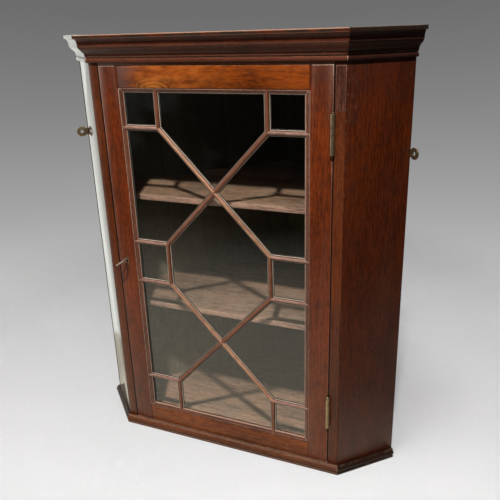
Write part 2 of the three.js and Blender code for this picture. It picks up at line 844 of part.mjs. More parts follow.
function addKey() {
  const bit = block(
    [-keyBitThickness / 2, keyBitThickness / 2], [keyShaftIn - keyBitLength, keyShaftIn], [-keyBitReach, 0],
  );
  const shaft = rod(keyShaftRadius, -keyShaftOut - keyBowWidth / 2, keyShaftIn);
  const collar = rod(keyCollarRadius, -keyShaftOut, keyCollarLength - keyShaftOut);
  const turned = joined([shaft, collar, bit, keyBow()]).rotateY(keyTurned * Math.PI / 180);
  addPiece(door, 'key', atKey(turned), oldMetal(steelColour));
}

// A round hole for the shaft over a slot for the bit.
function keyhole() {
  const round = rod(keyShaftRadius + keyholeClearance, -cutOverrun, lockFront);
  const slotHalf = keyBitThickness / 2 + keyholeClearance;
  const slot = block([-slotHalf, slotHalf], [-cutOverrun, lockFront], [-sweepRadius, 0]);
  return atKey(joined([round, slot]));
}

function boltMortise() {
  return boltBlock(mortiseSpare, boltLeft - boltThrow - mortiseSpare, cutOverrun - openHalf);
}

// Hanging plates lie flush with the walls, across the back edge of each return, with an eye outside.
function plateShape() {
  const half = plateHeight / 2;
  const meetTurn = Math.asin(half / eyeRadius) / (2 * Math.PI);
  const centre = [-eyeOut, 0];
  const eye = arc(centre, eyeRadius, eyeRadius, meetTurn, 1 - meetTurn, roundSides);
  return outlined([[plateIn, -half], [plateIn, half], ...eye], oval(centre, eyeHoleRadius, eyeHoleRadius));
}

function plateLevel(side) {
  return floorLevel + (side.sign > 0 ? rightPlateRise : leftPlateRise);
}

function plateNotch(side) {
  const level = plateLevel(side);
  const half = plateHeight / 2 + jointGap;
  return block(
    [side.sign * (returnDepth - plateThickness - jointGap), side.sign * (returnDepth + cutOverrun)],
    [-cutOverrun, plateIn + jointGap],
    [level - half, level + half],
  );
}

function addHangingPlate(side) {
  const front = returnDepth - plateThickness;
  const ends = side.sign > 0 ? [front, returnDepth] : [-returnDepth, -front];
  const plate = lengthwise(plateShape(), ...ends).translate(0, 0, plateLevel(side));
  addPiece(side.group, `hanging_plate_${side.name}`, plate, oldMetal(brassColour));
}

// Case
boards.forEach(addBoard);
const recessDepth = hingeLeafThickness + jointGap;
const caseRecesses = hinges.map((hinge) => {
  return hingeRecess(hinge, [openHalf - cutOverrun, openHalf + recessDepth]);
});
sides.forEach((side) => {
  addReturn(side);
  addPost(side, side.sign > 0 ? caseRecesses : [boltMortise()]);
  addBack(side);
  addHangingPlate(side);
});
addMoulding('cornice', corniceSection());
addMoulding('base_moulding', baseSection());

// Door
const doorRecesses = hinges.map((hinge) => {
  return hingeRecess(hinge, [doorHalf - recessDepth, doorHalf + cutOverrun]);
});
sides.forEach((side) => {
  const cuts = side.sign > 0 ? doorRecesses : [lockBlock(jointGap), keyhole()];
  addPiece(door, `door_stile_${side.name}`, cut(stileBlank(side), cuts), polishedWood(mahoganyColour));
});
addRail('door_rail_top', doorTop, sightTop, innerTop);
addRail('door_rail_bottom', doorBottom, sightBottom, innerBottom);
addBars();
addPanes();
hinges.forEach(addHinge);
addLock();
addKey();

export default cupboard;
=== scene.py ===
# %% [markdown]
# # A hanging corner cupboard
# This lesson dresses a finished set of solids, the frame, as an old mahogany corner cupboard. The frame
# gives every piece its place and tells which pieces move together. Blender adds what the solids leave out:
# fine mouldings, worn polish, dusty shelves, thin old glass, brass and light.

# %% Open the frame
import math

import bmesh
import bpy
from mathutils import Matrix, Vector
from mathutils.geometry import interpolate_bezier


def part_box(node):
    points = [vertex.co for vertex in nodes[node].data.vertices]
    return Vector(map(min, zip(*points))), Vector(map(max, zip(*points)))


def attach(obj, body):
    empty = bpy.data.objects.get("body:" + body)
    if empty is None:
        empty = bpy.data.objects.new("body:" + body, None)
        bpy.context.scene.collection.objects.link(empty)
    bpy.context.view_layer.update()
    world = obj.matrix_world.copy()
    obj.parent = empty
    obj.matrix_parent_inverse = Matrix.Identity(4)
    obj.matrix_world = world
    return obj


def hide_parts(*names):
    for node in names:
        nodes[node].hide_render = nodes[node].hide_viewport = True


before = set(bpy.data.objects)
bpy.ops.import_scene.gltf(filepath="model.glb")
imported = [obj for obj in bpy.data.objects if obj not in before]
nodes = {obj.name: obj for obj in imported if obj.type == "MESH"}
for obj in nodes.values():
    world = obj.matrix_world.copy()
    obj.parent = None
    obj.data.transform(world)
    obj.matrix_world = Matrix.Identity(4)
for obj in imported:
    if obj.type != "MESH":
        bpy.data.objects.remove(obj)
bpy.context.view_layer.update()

# %% [markdown]
# ## Measures
# A maker works from the front face of the case, in millimetres. So do the cells below: x runs to the right,
# y runs back from the front face, and z runs up from the underside of the base. One matrix brings such
# points to the frame, which is in metres and has its origin under the middle of the plan. The two slanted
# sides have matrices of their own, in which x runs along the side to the wall and y runs inwards.

# %% From the maker's millimetres to the frame
mm = 0.001
cornice_reach = 28
half_front = 276.5
side_depth = 146
joint_gap = 0.3
plan_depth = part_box("cornice_front")[0].y + cornice_reach * mm
to_frame = Matrix.Translation((0, plan_depth, 0)) @ Matrix.Scale(mm, 4)


def side_matrix(sign):
    return Matrix.Translation((sign * half_front, 0, 0)) @ Matrix.Rotation(sign * math.pi / 4, 4, "Z")


print("the front face lies", round(-plan_depth * 1000, 2), "mm in front of the plan's middle")

# %% [markdown]
# ## Camera
# The picture is taken from the right, a little above the cornice, with the camera tilted down and turned
# very slightly on its axis. A lens of 43 mm keeps the near edge only a little larger than the far one.

# %% Camera
camera_place = (0.5423, -1.2910, 0.9589)
turn, tilt, roll = (math.radians(angle) for angle in (23.422, -20.653, -1.877))
camera_data = bpy.data.cameras.new("camera")
camera_data.sensor_width = 36
camera_data.lens = 42.8
camera = bpy.data.objects.new("camera", camera_data)
bpy.context.scene.collection.objects.link(camera)
forward = Vector((-math.sin(turn) * math.cos(tilt), math.cos(turn) * math.cos(tilt), math.sin(tilt)))
level_right = Vector((math.cos(turn), math.sin(turn), 0))
level_up = level_right.cross(forward)
camera_right = level_right * math.cos(roll) + level_up * math.sin(roll)
camera_up = level_up * math.cos(roll) - level_right * math.sin(roll)
axes = Matrix((camera_right, camera_up, -forward)).transposed()
camera.matrix_world = Matrix.Translation(camera_place) @ axes.to_4x4()
bpy.context.scene.camera = camera
print("camera at", tuple(round(v, 3) for v in camera.location))

# %% [markdown]
# ## Helpers for node trees
# Every finish below is made of nodes, which could be placed by hand in the shader editor. A few small
# functions keep that readable in a script. `feed` links a socket, or sets its value where it is given a
# number or a colour. `node` adds a node and feeds it. The others stand for the nodes that come back most
# often, and find their tree from a socket that they are given: sums, a blend of two colours, a soft step
# and cloudy noise.

# %% Helpers for nodes
def feed(socket, value):
    if isinstance(value, bpy.types.NodeSocket):
        socket.id_data.links.new(value, socket)
    elif socket.type == "RGBA":
        socket.default_value = (*value, 1)
    else:
        socket.default_value = value


def feed_all(made, inputs):
    for name, value in inputs.items():
        feed(made.inputs[name], value)


def node(tree, kind, inputs=None, **settings):
    made = tree.nodes.new("ShaderNode" + kind)
    for name, value in settings.items():
        setattr(made, name, value)
    feed_all(made, inputs or {})
    return made


def tree_of(*values):
    return next(value.id_data for value in values if isinstance(value, bpy.types.NodeSocket))


def math_of(operation, *values, clamp=False):
    settings = {"operation": operation, "use_clamp": clamp}
    return node(tree_of(*values), "Math", dict(enumerate(values)), **settings).outputs[0]


def times(first, second):
    return math_of("MULTIPLY", first, second)


def minus(first, second):
    return math_of("SUBTRACT", first, second)


def times_plus(value, factor, offset, clamp=False):
    return math_of("MULTIPLY_ADD", value, factor, offset, clamp=clamp)


def vectors(operation, *values):
    made = node(tree_of(*values), "VectorMath", dict(enumerate(values)), operation=operation)
    return made.outputs["Value" if operation in ("DOT_PRODUCT", "DISTANCE", "LENGTH") else "Vector"]


# %% Helpers for colours and patterns
def mix(factor, first, second):
    return node(tree_of(factor), "Mix", {0: factor, 6: first, 7: second}, data_type="RGBA").outputs[2]


def between(value, low, high):
    inputs = {"Value": value, "From Min": low, "From Max": high}
    return node(tree_of(value), "MapRange", inputs, interpolation_type="SMOOTHSTEP").outputs[0]


def noise(vector, scale, detail=3, roughness=0.55, distortion=0):
    inputs = {"Vector": vector, "Scale": scale, "Detail": detail, "Roughness": roughness,
              "Distortion": distortion}
    return node(tree_of(vector), "TexNoise", inputs).outputs[0]


def combined(**axes):
    return node(tree_of(*axes.values()), "CombineXYZ", axes).outputs[0]


def choose(tree, factor, first, second):
    return node(tree, "MixShader", {0: factor, 1: first, 2: second}).outputs[0]


def object_place(tree):
    return node(tree, "TexCoord").outputs["Object"]


def spot_on_object(tree):
    return node(tree, "SeparateXYZ", {"Vector": object_place(tree)}).outputs


# %% [markdown]
# ## Shared effects
# Grain and wear come back in every wood. Each is a node group: a small tree with named inputs and outputs
# that is built once and then placed in each material with its own values. The two functions here make a
# group and use it. An input without a default is a vector, one with three numbers is a colour, and the
# others are numbers.

# %% Helpers for groups
def new_group(name, inputs, outputs):
    tree = bpy.data.node_groups.new(name, "ShaderNodeTree")
    for title, default in inputs.items():
        kind = "Vector" if default is None else "Color" if isinstance(default, tuple) else "Float"
        socket = tree.interface.new_socket(title, in_out="INPUT", socket_type="NodeSocket" + kind)
        if default is not None:
            socket.default_value = (*default, 1) if kind == "Color" else default
    for title, kind in outputs.items():
        tree.interface.new_socket(title, in_out="OUTPUT", socket_type="NodeSocket" + kind)
    return tree, tree.nodes.new("NodeGroupInput").outputs, tree.nodes.new("NodeGroupOutput").inputs


def use_group(tree, group, **inputs):
    made = tree.nodes.new("ShaderNodeGroup")
    made.node_tree = group
    feed_all(made, {title.capitalize(): value for title, value in inputs.items()})
    return made.outputs


# %% [markdown]
# ## Wood grain
# Mahogany shows three things at this distance: streaks and flecks a few millimetres long, a slow drift from
# dark to light, and short dark pores. A photograph of wood could be laid over each board, but it would need
# unfolded boards and would repeat. Noise that is drawn out along the grain runs through every piece without
# a seam. The group takes coordinates in which the grain runs along z, so it serves uprights, rails and
# slanting bars alike.

# %% Wood grain
grain, given, result = new_group(
    "wood_grain",
    {"Vector": None, "Dark": (0.05, 0.015, 0.008), "Light": (0.2, 0.06, 0.02),
     "Figure": 0.3, "Fine": 0.7, "Pores": 0.5},
    {"Color": "Color", "Height": "Float"},
)
sway = noise(vectors("MULTIPLY", given["Vector"], (1, 1, 0.3)), 9, 2)
swayed = vectors("MULTIPLY_ADD", sway, (0.012, 0.012, 0), given["Vector"])


def drawn_out(share, scale, detail, roughness, distortion=0):
    squeezed = vectors("MULTIPLY", swayed, (1, 1, share))
    return noise(squeezed, scale, detail, roughness, distortion)


streaks = drawn_out(0.05, 300, 3, 0.65)
flecks = drawn_out(0.20, 360, 2, 0.7)
drift = drawn_out(0.22, 16, 6, 0.62, 0.6)
pores = between(drawn_out(0.07, 800, 2, 0.7), 0.60, 0.72)
both = times_plus(flecks, 0.5, times(streaks, 0.5))
fine = times_plus(minus(both, 0.5), given["Fine"], 0.5)
broad = times_plus(given["Figure"], minus(drift, 0.5), fine)
plain = mix(between(broad, 0.30, 0.70), given["Dark"], given["Light"])
pored = mix(times(pores, given["Pores"]), plain, (0.012, 0.005, 0.003))
feed(result["Color"], pored)
feed(result["Height"], minus(times(streaks, 0.4), pores))
print("wood_grain has", len(grain.nodes), "nodes")

# %% [markdown]
# ## Worn edges, dirt and painted shade in corners
# Hands and dusters wear polish off every arris, and wax and dirt gather in the quirks. The marks could be
# painted on, but they can also be found: the Bevel node rounds the normal near an edge, so the angle
# between it and the true normal marks the edges, and ambient occlusion tells the open arrises from the
# closed corners. Noise breaks both up, because wear is never even. The edge mask is stronger where an edge
# faces up, which is painted highlight from the light above as well as wear. The darkening where occlusion
# is low is painted shade in the corners as well as dirt.

# %% Worn edges, painted highlight, dirt and painted shade
wear_and_shade, given, result = new_group(
    "edge_wear_and_shade",
    {"Radius": 0.0008, "Amount": 0.7, "Reach": 0.004},
    {"Worn_and_highlit": "Float", "Dirty_and_shaded": "Float", "Normal": "Vector"},
)
rounded = node(wear_and_shade, "Bevel", {"Radius": given["Radius"]}, samples=4).outputs[0]
true_normal = node(wear_and_shade, "NewGeometry").outputs["True Normal"]
edge = between(vectors("DOT_PRODUCT", rounded, true_normal), 0.99, 0.90)
occlusion = node(wear_and_shade, "AmbientOcclusion", {"Distance": given["Reach"]}, samples=4).outputs["AO"]
patches = noise(object_place(wear_and_shade), 90, 4, 0.7)
low_patch = minus(0.95, given["Amount"])
broken = between(patches, low_patch, math_of("ADD", low_patch, 0.25))
open_edge = between(occlusion, 0.40, 0.62)
upward = node(wear_and_shade, "SeparateXYZ", {"Vector": rounded}).outputs["Z"]
# Edges that face up are marked more: painted highlight from the light above, besides wear.
lit_from_above = times_plus(upward, 0.4, 0.8, clamp=True)
dirt_patches = between(patches, 0.25, 0.6)
feed(result["Worn_and_highlit"], times(times(edge, broken), times(open_edge, lit_from_above)))
# Low occlusion darkens corners and quirks: dirt and painted shade.
feed(result["Dirty_and_shaded"], times(between(occlusion, 0.72, 0.30), dirt_patches))
feed(result["Normal"], rounded)
print("edge_wear_and_shade has", len(wear_and_shade.nodes), "nodes")

# %% [markdown]
# ## Polished mahogany
# French polish is a clear coat over stained wood, so the Principled shader gets a fairly rough base and a
# smoother coat. Where wear has reached the wood, or dirt lies on it, the coat is gone. The same masks carry
# painted light as well: the pale edge colour is painted highlight besides wear, and the dark corners are
# painted shade besides dirt. The stain is darker near the top, where smoke and dust settle. A Mapping node
# turns the object's own coordinates until the grain runs along z. Three optional functions add what belongs
# to one place: a colour, less wear, or a matt patch.

# %% The start of every material
def empty_material(name):
    material = bpy.data.materials.new(name)
    material.use_nodes = True
    material.node_tree.nodes.clear()
    return material, material.node_tree


def start_material(name, turn=(0, 0, 0), shift=(0, 0, 0)):
    material, tree = empty_material(name)
    shader = node(tree, "BsdfPrincipled")
    node(tree, "OutputMaterial", {0: shader.outputs[0]})
    turned = node(tree, "Mapping", {"Vector": object_place(tree), "Location": shift, "Rotation": turn})
    return material, tree, shader, turned.outputs[0]


def bumped(normal, height, distance, strength):
    inputs = {"Height": height, "Distance": distance, "Strength": strength, "Normal": normal}
    return node(tree_of(normal), "Bump", inputs).outputs[0]


# %% Polished mahogany
def polished(name, dark, light, turn=(0, 0, 0), shift=(0, 0, 0), figure=0.35, fine=0.7, pores=0.5, stain=0.5,
             wear_amount=0.5, worn=(0.42, 0.27, 0.17), radius=0.0016, reach=0.004, dirt=0.85,
             coat=0.55, smooth=0.12, added=None, worn_where=None, matt_where=None):
    material, tree, shader, place = start_material(name, turn, shift)
    wood = use_group(tree, grain, vector=place, dark=dark, light=light, figure=figure, fine=fine, pores=pores)
    edges = use_group(tree, wear_and_shade, radius=radius, amount=wear_amount, reach=reach)
    spot = spot_on_object(tree)
    cloudy = noise(place, 30, 4, 0.6)
    clouds = times(between(cloudy, 0.45, 0.75), 0.35)
    clouded = mix(clouds, wood["Color"], (0.02, 0.008, 0.005))
    high = math_of("ADD", spot["Z"], times(cloudy, 0.08))
    top_stain = times(between(high, 0.80, 0.93), stain)
    marked = mix(top_stain, clouded, (0.030, 0.008, 0.005))
    if added:
        marked = added(marked, spot)
    # Edge colour: wear and painted highlight.
    worn_and_highlit_edges = edges["Worn_and_highlit"]
    if worn_where:
        worn_and_highlit_edges = times(worn_and_highlit_edges, worn_where(spot))
    # Corner darkening: dirt and painted shade.
    dirty = mix(times(edges["Dirty_and_shaded"], dirt), marked, (0.010, 0.006, 0.004))
    rough = times_plus(cloudy, 0.35, 0.22)
    lost = math_of("MAXIMUM", worn_and_highlit_edges, edges["Dirty_and_shaded"])
    if matt_where:
        matt = matt_where(spot)
        rough = math_of("MAXIMUM", rough, matt)
        lost = math_of("MAXIMUM", lost, matt)
    feed_all(shader, {
        "Base Color": mix(worn_and_highlit_edges, dirty, worn), "Roughness": rough, "Specular IOR Level": 0.14,
        "Coat Weight": times(minus(1, lost), coat), "Coat Roughness": smooth,
        "Normal": bumped(edges["Normal"], wood["Height"], 0.00012, 0.5),
    })
    return material


# %% [markdown]
# ## Marks that sit in one place
# Some marks sit in one place: the flame in the top rail, soot on the cornice, a matt strip where the left
# side met the wall, a painted reflection of the pale floor that makes the stiles paler lower down, and
# painted shade in the gap beside the door. They could be painted on an unfolded mesh. Here they are masks,
# drawn from the object's own coordinates in metres, so they stay put when the door swings and need no
# unfolding.

# %% Flame and soot
def flame_of_rail(colour, spot):
    place = combined(X=spot["X"], Z=spot["Z"])
    waves = noise(vectors("MULTIPLY", place, (0.5, 1, 1)), 55, 4, 0.6)
    squashed = vectors("MULTIPLY", place, (0.55, 1, 1))
    eye = vectors("DISTANCE", squashed, (-0.068, 0, 0.842))
    swirl = math_of("SINE", times_plus(waves, 11, times(eye, 900)))
    near_eye = between(eye, 0.036, 0.004)
    ripple = times(times_plus(swirl, 0.5, 0.5), near_eye)
    from_flame = math_of("ABSOLUTE", minus(spot["X"], -0.085))
    glowing = times(between(from_flame, 0.17, 0.02), between(waves, 0.3, 0.7))
    warmed = mix(times(glowing, 0.7), colour, (0.52, 0.135, 0.020))
    rippled = mix(times(ripple, 0.5), warmed, (0.72, 0.26, 0.05))
    left_end = between(spot["X"], -0.150, -0.212)
    return mix(times(left_end, 0.9), rippled, (0.060, 0.009, 0.002))


def sooty_crown(colour, spot):
    place = combined(X=spot["X"], Y=spot["Y"], Z=spot["Z"])
    patches = between(noise(place, 28, 3, 0.6), 0.40, 0.56)
    crown = times(between(spot["Z"], 0.9425, 0.9450), times(patches, 0.85))
    return mix(crown, colour, (0.022, 0.017, 0.012))


# %% Colours that change along a board
# Painted reflection of the pale floor: the stiles grow paler lower down.
def floor_sheen_lower_down(colour, spot):
    low_share = times(between(spot["Z"], 0.42, 0.12), 0.05)
    share = times_plus(between(spot["Z"], 0.75, 0.45), 0.018, low_share)
    return mix(share, colour, (0.45, 0.26, 0.17))


def brown_lower_down(colour, spot):
    return mix(between(spot["Z"], 0.66, 0.40), colour, (0.14, 0.050, 0.025))


def from_middle(spot):
    return math_of("ABSOLUTE", spot["X"])


# Painted shade: near black in the gap between the post and the door.
def gap_shade_beside_door(colour, spot):
    return mix(between(from_middle(spot), 0.2560, 0.2548), colour, (0.006, 0.003, 0.002))


# %% Where edges are worn, and where the polish is matt
def on_stile_edges(spot):
    out = from_middle(spot)
    higher = times_plus(between(spot["Z"], 0.62, 0.74), 0.75, 0.25)
    outer = times(between(out, 0.211, 0.214), higher)
    between_rails = times(between(spot["Z"], 0.846, 0.844), between(spot["Z"], 0.066, 0.068))
    inner = times(between(out, 0.2105, 0.2090), between_rails)
    return math_of("MAXIMUM", outer, inner)


def on_rail_edges(spot):
    return between(from_middle(spot), 0.206, 0.202)


# Edge colour near the mitres is wear; along the bead it is painted highlight as well.
def short_of_mitre(spot):
    slope = math.tan(math.pi / 8)
    leaning = times_plus(spot["Y"], slope, -plan_depth * slope - half_front * mm)
    past = math_of("ABSOLUTE", math_of("ADD", from_middle(spot), leaning))
    on_bead = between(spot["Z"], 0.9075, 0.9055)
    return math_of("MAXIMUM", between(past, 0.0018, 0.0045), on_bead)


def beside_wall(spot):
    out = minus(from_middle(spot), half_front * mm)
    back = minus(spot["Y"], plan_depth)
    along = times(math_of("ADD", out, back), math.sqrt(0.5))
    return between(along, 0.1300, 0.1320)


# %% [markdown]
# ## The mahogany finishes
# One recipe makes every polished part, and the values below tell them apart. Each colour is given as the
# dark and the light of its grain. The slanted sides are in shade and are painted dark: painted shade. The
# lattice has lost most of its colour to hands and dusters, and its narrow fillets are nearly cream from wear
# and painted highlight. Level bars and bars that fall to the right catch the key light, so they get paler
# copies of the lattice colour: painted highlight. Level pieces turn the grain by a quarter, and the slants
# of the lattice by their own angle.

# %% Finishes of the door
quarter = math.pi / 2
slant_turn = math.atan2(244, 257.45)
cream = (0.80, 0.58, 0.44)
finish = {}


def add_finish(name, dark, light, **look):
    finish[name] = polished(name, dark, light, **look)


fillet_look = {"wear_amount": 0.85, "radius": 0.0024, "dirt": 0.95, "stain": 0, "reach": 0.0012}
bar_look = {"wear_amount": 0.55, "radius": 0.0006, "worn": (0.52, 0.36, 0.27), "dirt": 0.95, "stain": 0,
            "reach": 0.0028, "smooth": 0.3}
moulding_look = {"wear_amount": 0.85, "worn": cream, "dirt": 0.95, "stain": 0.2, "reach": 0.003}
bar_colours = (0.075, 0.020, 0.009), (0.31, 0.110, 0.052)
moulding_colours = (0.045, 0.013, 0.007), (0.22, 0.075, 0.040)
# Nearly cream fillets: wear and painted highlight. The dull copy is darker, without the highlight.
add_finish("fillet_worn_and_highlit", (0.20, 0.09, 0.05), (0.62, 0.38, 0.26), worn=(0.95, 0.80, 0.64), **fillet_look)
add_finish("bar_fillet_dull", (0.13, 0.055, 0.03), (0.42, 0.23, 0.155), worn=(0.6, 0.43, 0.33),
           **fillet_look)
# The arris beside the quirk is nearly cream: wear and painted highlight.
add_finish("frame_arris", (0.10, 0.036, 0.019), (0.36, 0.165, 0.10), wear_amount=0.9, radius=0.0022,
           worn=cream, dirt=0.95, stain=0, reach=0.0012, added=brown_lower_down)
# Near-black quirk finish: painted shade in grooves and gaps.
add_finish("quirk", (0.006, 0.003, 0.002), (0.025, 0.011, 0.007), wear_amount=0, coat=0, stain=0)
add_finish("bar_upright", *bar_colours, **bar_look)
# bar_level and bar_falling are paler copies: painted highlight where the key light catches them.
add_finish("bar_level", (0.12, 0.052, 0.034), (0.50, 0.28, 0.205), turn=(0, quarter, 0), **bar_look)
add_finish("bar_rising", *bar_colours, turn=(0, -slant_turn, 0), **bar_look)
add_finish("bar_falling", (0.18, 0.068, 0.032), (0.66, 0.335, 0.19), turn=(0, slant_turn, 0), **bar_look)
add_finish("moulding_upright", *moulding_colours, **moulding_look)
add_finish("moulding_level", *moulding_colours, turn=(0, quarter, 0), **moulding_look)
# The stiles take the painted floor reflection lower down.
add_finish("mahogany_upright", (0.048, 0.0078, 0.0015), (0.22, 0.038, 0.006), wear_amount=0.7,
           radius=0.0019, coat=0.25, worn=cream, fine=0.85, worn_where=on_stile_edges, added=floor_sheen_lower_down)
add_finish("mahogany_level", (0.065, 0.014, 0.003), (0.30, 0.075, 0.015), turn=(0, quarter, 0), coat=0.24,
           figure=0.6, worn_where=on_rail_edges)
add_finish("mahogany_rail", (0.075, 0.014, 0.002), (0.32, 0.062, 0.005), turn=(0, quarter, 0), figure=0.7,
           fine=0.9, stain=0, added=flame_of_rail, worn_where=on_rail_edges)
print("finishes of the door:", ", ".join(finish))

# %% Finishes of the case
cornice_look = {"turn": (0, quarter, 0), "worn_where": short_of_mitre, "added": sooty_crown}
shaded_cornice = (0.014, 0.005, 0.003), (0.050, 0.015, 0.008)
base_look = {"turn": (0, quarter, 0), "stain": 0, "coat": 0.12}
# The post is painted near black beside the door: painted shade in the gap.
add_finish("mahogany_post", (0.045, 0.010, 0.003), (0.17, 0.038, 0.009), shift=(0.3, 0, 0), wear_amount=0.35,
           radius=0.002, worn=(0.28, 0.13, 0.075), coat=0.28, added=gap_shade_beside_door)
add_finish("repair_wood", (0.055, 0.018, 0.012), (0.22, 0.075, 0.040), shift=(0.7, 0, 0), wear_amount=0.9,
           fine=1.1, worn=(0.62, 0.38, 0.28), coat=0.2)
# Its pale worn colour is wear and painted highlight along the arrises and the bead.
add_finish("cornice_front", (0.038, 0.008, 0.004), (0.17, 0.040, 0.015), wear_amount=0.78, radius=0.0030,
           worn=(0.80, 0.42, 0.27), stain=0.2, coat=0.08, **cornice_look)
add_finish("cornice_right", *shaded_cornice, coat=0.2, wear_amount=0.65, radius=0.002,
           worn=(0.17, 0.11, 0.07), **cornice_look)
# A wide occlusion reach darkens the steps of the left end: painted shade as well as dirt.
add_finish("cornice_left", *shaded_cornice, coat=0.62, turn=(0, quarter, 0), wear_amount=0.6, radius=0.002,
           worn=(0.16, 0.12, 0.08), dirt=1, reach=0.009)
add_finish("side_right", (0.034, 0.005, 0.0008), (0.100, 0.016, 0.0015), fine=1.1, wear_amount=0.45, coat=0.5,
           smooth=0.3, stain=0.35)
add_finish("side_left", (0.030, 0.006, 0.002), (0.085, 0.018, 0.004), figure=0.25, coat=1, wear_amount=0.45,
           stain=0.35, matt_where=beside_wall)
add_finish("base_front", (0.042, 0.012, 0.005), (0.175, 0.050, 0.017), wear_amount=0.7,
           worn=(0.52, 0.32, 0.21), **base_look)
add_finish("base_side", (0.010, 0.0035, 0.002), (0.032, 0.011, 0.005), worn=(0.36, 0.24, 0.17), **base_look)
print("finishes of door and case:", len(finish))

# %% [markdown]
# ## Bare and painted pine
# The shelves and hidden boards are softwood that was never polished, so they are rough and show dust. The
# back was painted a greenish drab inside, which has gone blotchy, and it is painted darker from the middle
# up as shade, since little light reaches the upper compartment. The shelves and the bottom board get
# brightness of their own, which is painted light for each level. Both finishes use the groups for grain and
# wear again, without a coat.

# %% Bare and painted pine
def plain_wood(name, dark, light, turn=(0, 0, 0), dust_left=0.45, wear_amount=0.75):
    material, tree, shader, place = start_material(name, turn)
    wood = use_group(tree, grain, vector=place, dark=dark, light=light, figure=0.8, fine=1.3, pores=0.4)
    edges = use_group(tree, wear_and_shade, radius=0.0012, amount=wear_amount)
    dust = between(noise(place, 22, 5, 0.65), 0.35, 0.75)
    dusty = mix(times(dust, dust_left), wood["Color"], (0.36, 0.25, 0.185))
    dirty = mix(edges["Dirty_and_shaded"], dusty, (0.02, 0.016, 0.012))
    colour = mix(edges["Worn_and_highlit"], dirty, (0.4, 0.3, 0.22))
    normal = bumped(edges["Normal"], wood["Height"], 0.0003, 0.6)
    feed_all(shader, {"Base Color": colour, "Roughness": 0.8, "Normal": normal})
    return material


def painted(name, dark, light):
    material, tree, shader, place = start_material(name)
    wood = use_group(tree, grain, vector=place, dark=dark, light=light, figure=0.8, pores=0.1)
    edges = use_group(tree, wear_and_shade, radius=0.001, amount=0.5)
    blotches = between(noise(place, 35, 6, 0.7), 0.35, 0.7)
    faded = mix(times(blotches, 0.5), wood["Color"], (0.26, 0.235, 0.155))
    speckles = between(noise(place, 210, 3, 0.7), 0.42, 0.62)
    speckled = mix(times(speckles, 0.35), faded, (0.075, 0.070, 0.045))
    # Painted shade: the paint is darker from the middle up, where the upper compartment gets little light.
    upper_shade = times(between(spot_on_object(tree)["Z"], 0.42, 0.68), 0.75)
    shaded_high = mix(upper_shade, speckled, (0.012, 0.010, 0.007))
    colour = mix(edges["Worn_and_highlit"], shaded_high, (0.2, 0.16, 0.12))
    normal = bumped(edges["Normal"], wood["Height"], 0.0003, 0.6)
    feed_all(shader, {"Base Color": colour, "Roughness": 0.7, "Normal": normal})
    return material


level_grain = {"turn": (0, quarter, 0)}
pine_level = plain_wood("pine_level", (0.13, 0.09, 0.06), (0.27, 0.19, 0.13), **level_grain)
pine_upright = plain_wood("pine_upright", (0.10, 0.075, 0.055), (0.22, 0.165, 0.12))
# Painted light: the shelves and the bottom board each get their own brightness for the light at their level.
shelf_wood = plain_wood("shelf_wood", (0.080, 0.042, 0.025), (0.315, 0.168, 0.106), **level_grain)
bottom_wood = plain_wood("bottom_wood", (0.13, 0.066, 0.038), (0.50, 0.262, 0.165), **level_grain)
upper_shelf_wood = plain_wood("upper_shelf_wood", (0.080, 0.040, 0.022), (0.33, 0.172, 0.103), dust_left=0.28,
                              **level_grain)
shelf_edge = plain_wood("shelf_edge", (0.18, 0.09, 0.064), (0.58, 0.315, 0.225), dust_left=0.2, **level_grain)
# Near-black putty: painted shade along the edges of the glass.
putty = plain_wood("putty", (0.010, 0.008, 0.006), (0.026, 0.021, 0.015), dust_left=0, wear_amount=0)
paint_inside = painted("paint_inside", (0.11, 0.095, 0.056), (0.22, 0.195, 0.12))
print("the inside has its woods and paint")

# %% [markdown]
# ## Brass, steel and old glass
# Old brass is dull in patches and bright only where it is handled, so noise moves both its colour and its
# roughness. The glass is thin and very slightly wavy. Light would bend twice through each thin sheet and
# leave it unchanged, which costs much and makes the shadows noisy, so a Light Path node lets shadow and
# diffuse rays pass straight through a faint tint instead.

# %% Brass, steel and glass
def metal(name, bright, dull, roughness):
    material, tree, shader, place = start_material(name)
    edges = use_group(tree, wear_and_shade, radius=0.0006, amount=0.75)
    patches = between(noise(place, 260, 5, 0.7), 0.38, 0.62)
    dirty = mix(edges["Dirty_and_shaded"], mix(patches, bright, dull), (0.03, 0.022, 0.014))
    colour = mix(times(edges["Worn_and_highlit"], 0.8), dirty, bright)
    rough = times_plus(patches, 0.25, roughness)
    normal = bumped(edges["Normal"], patches, 0.00008, 0.5)
    feed_all(shader, {"Base Color": colour, "Roughness": rough, "Normal": normal, "Metallic": 0.9})
    return material


def thin_glass(name):
    material, tree, shader, place = start_material(name)
    waviness = {"Height": noise(place, 12, 1), "Distance": 0.0008, "Strength": 0.5}
    wavy = node(tree, "Bump", waviness).outputs[0]
    feed_all(shader, {"Base Color": (0.93, 0.96, 0.94), "Transmission Weight": 1, "Roughness": 0, "IOR": 1.5,
                      "Normal": wavy})
    clear = node(tree, "BsdfTransparent", {"Color": (0.93, 0.95, 0.93)}).outputs[0]
    path = node(tree, "LightPath").outputs
    straight = math_of("MAXIMUM", path["Is Shadow Ray"], path["Is Diffuse Ray"])
    choice = choose(tree, straight, shader.outputs[0], clear)
    feed(tree.nodes["Material Output"].inputs[0], choice)
    return material


def dress(name, material):
    mesh = nodes[name].data
    mesh.materials.clear()
    mesh.materials.append(material)


brass = metal("old_brass", (0.50, 0.36, 0.20), (0.17, 0.125, 0.085), 0.3)
steel = metal("dark_steel", (0.62, 0.52, 0.45), (0.26, 0.21, 0.18), 0.4)
glass = thin_glass("thin_glass")
print("materials:", len(bpy.data.materials))

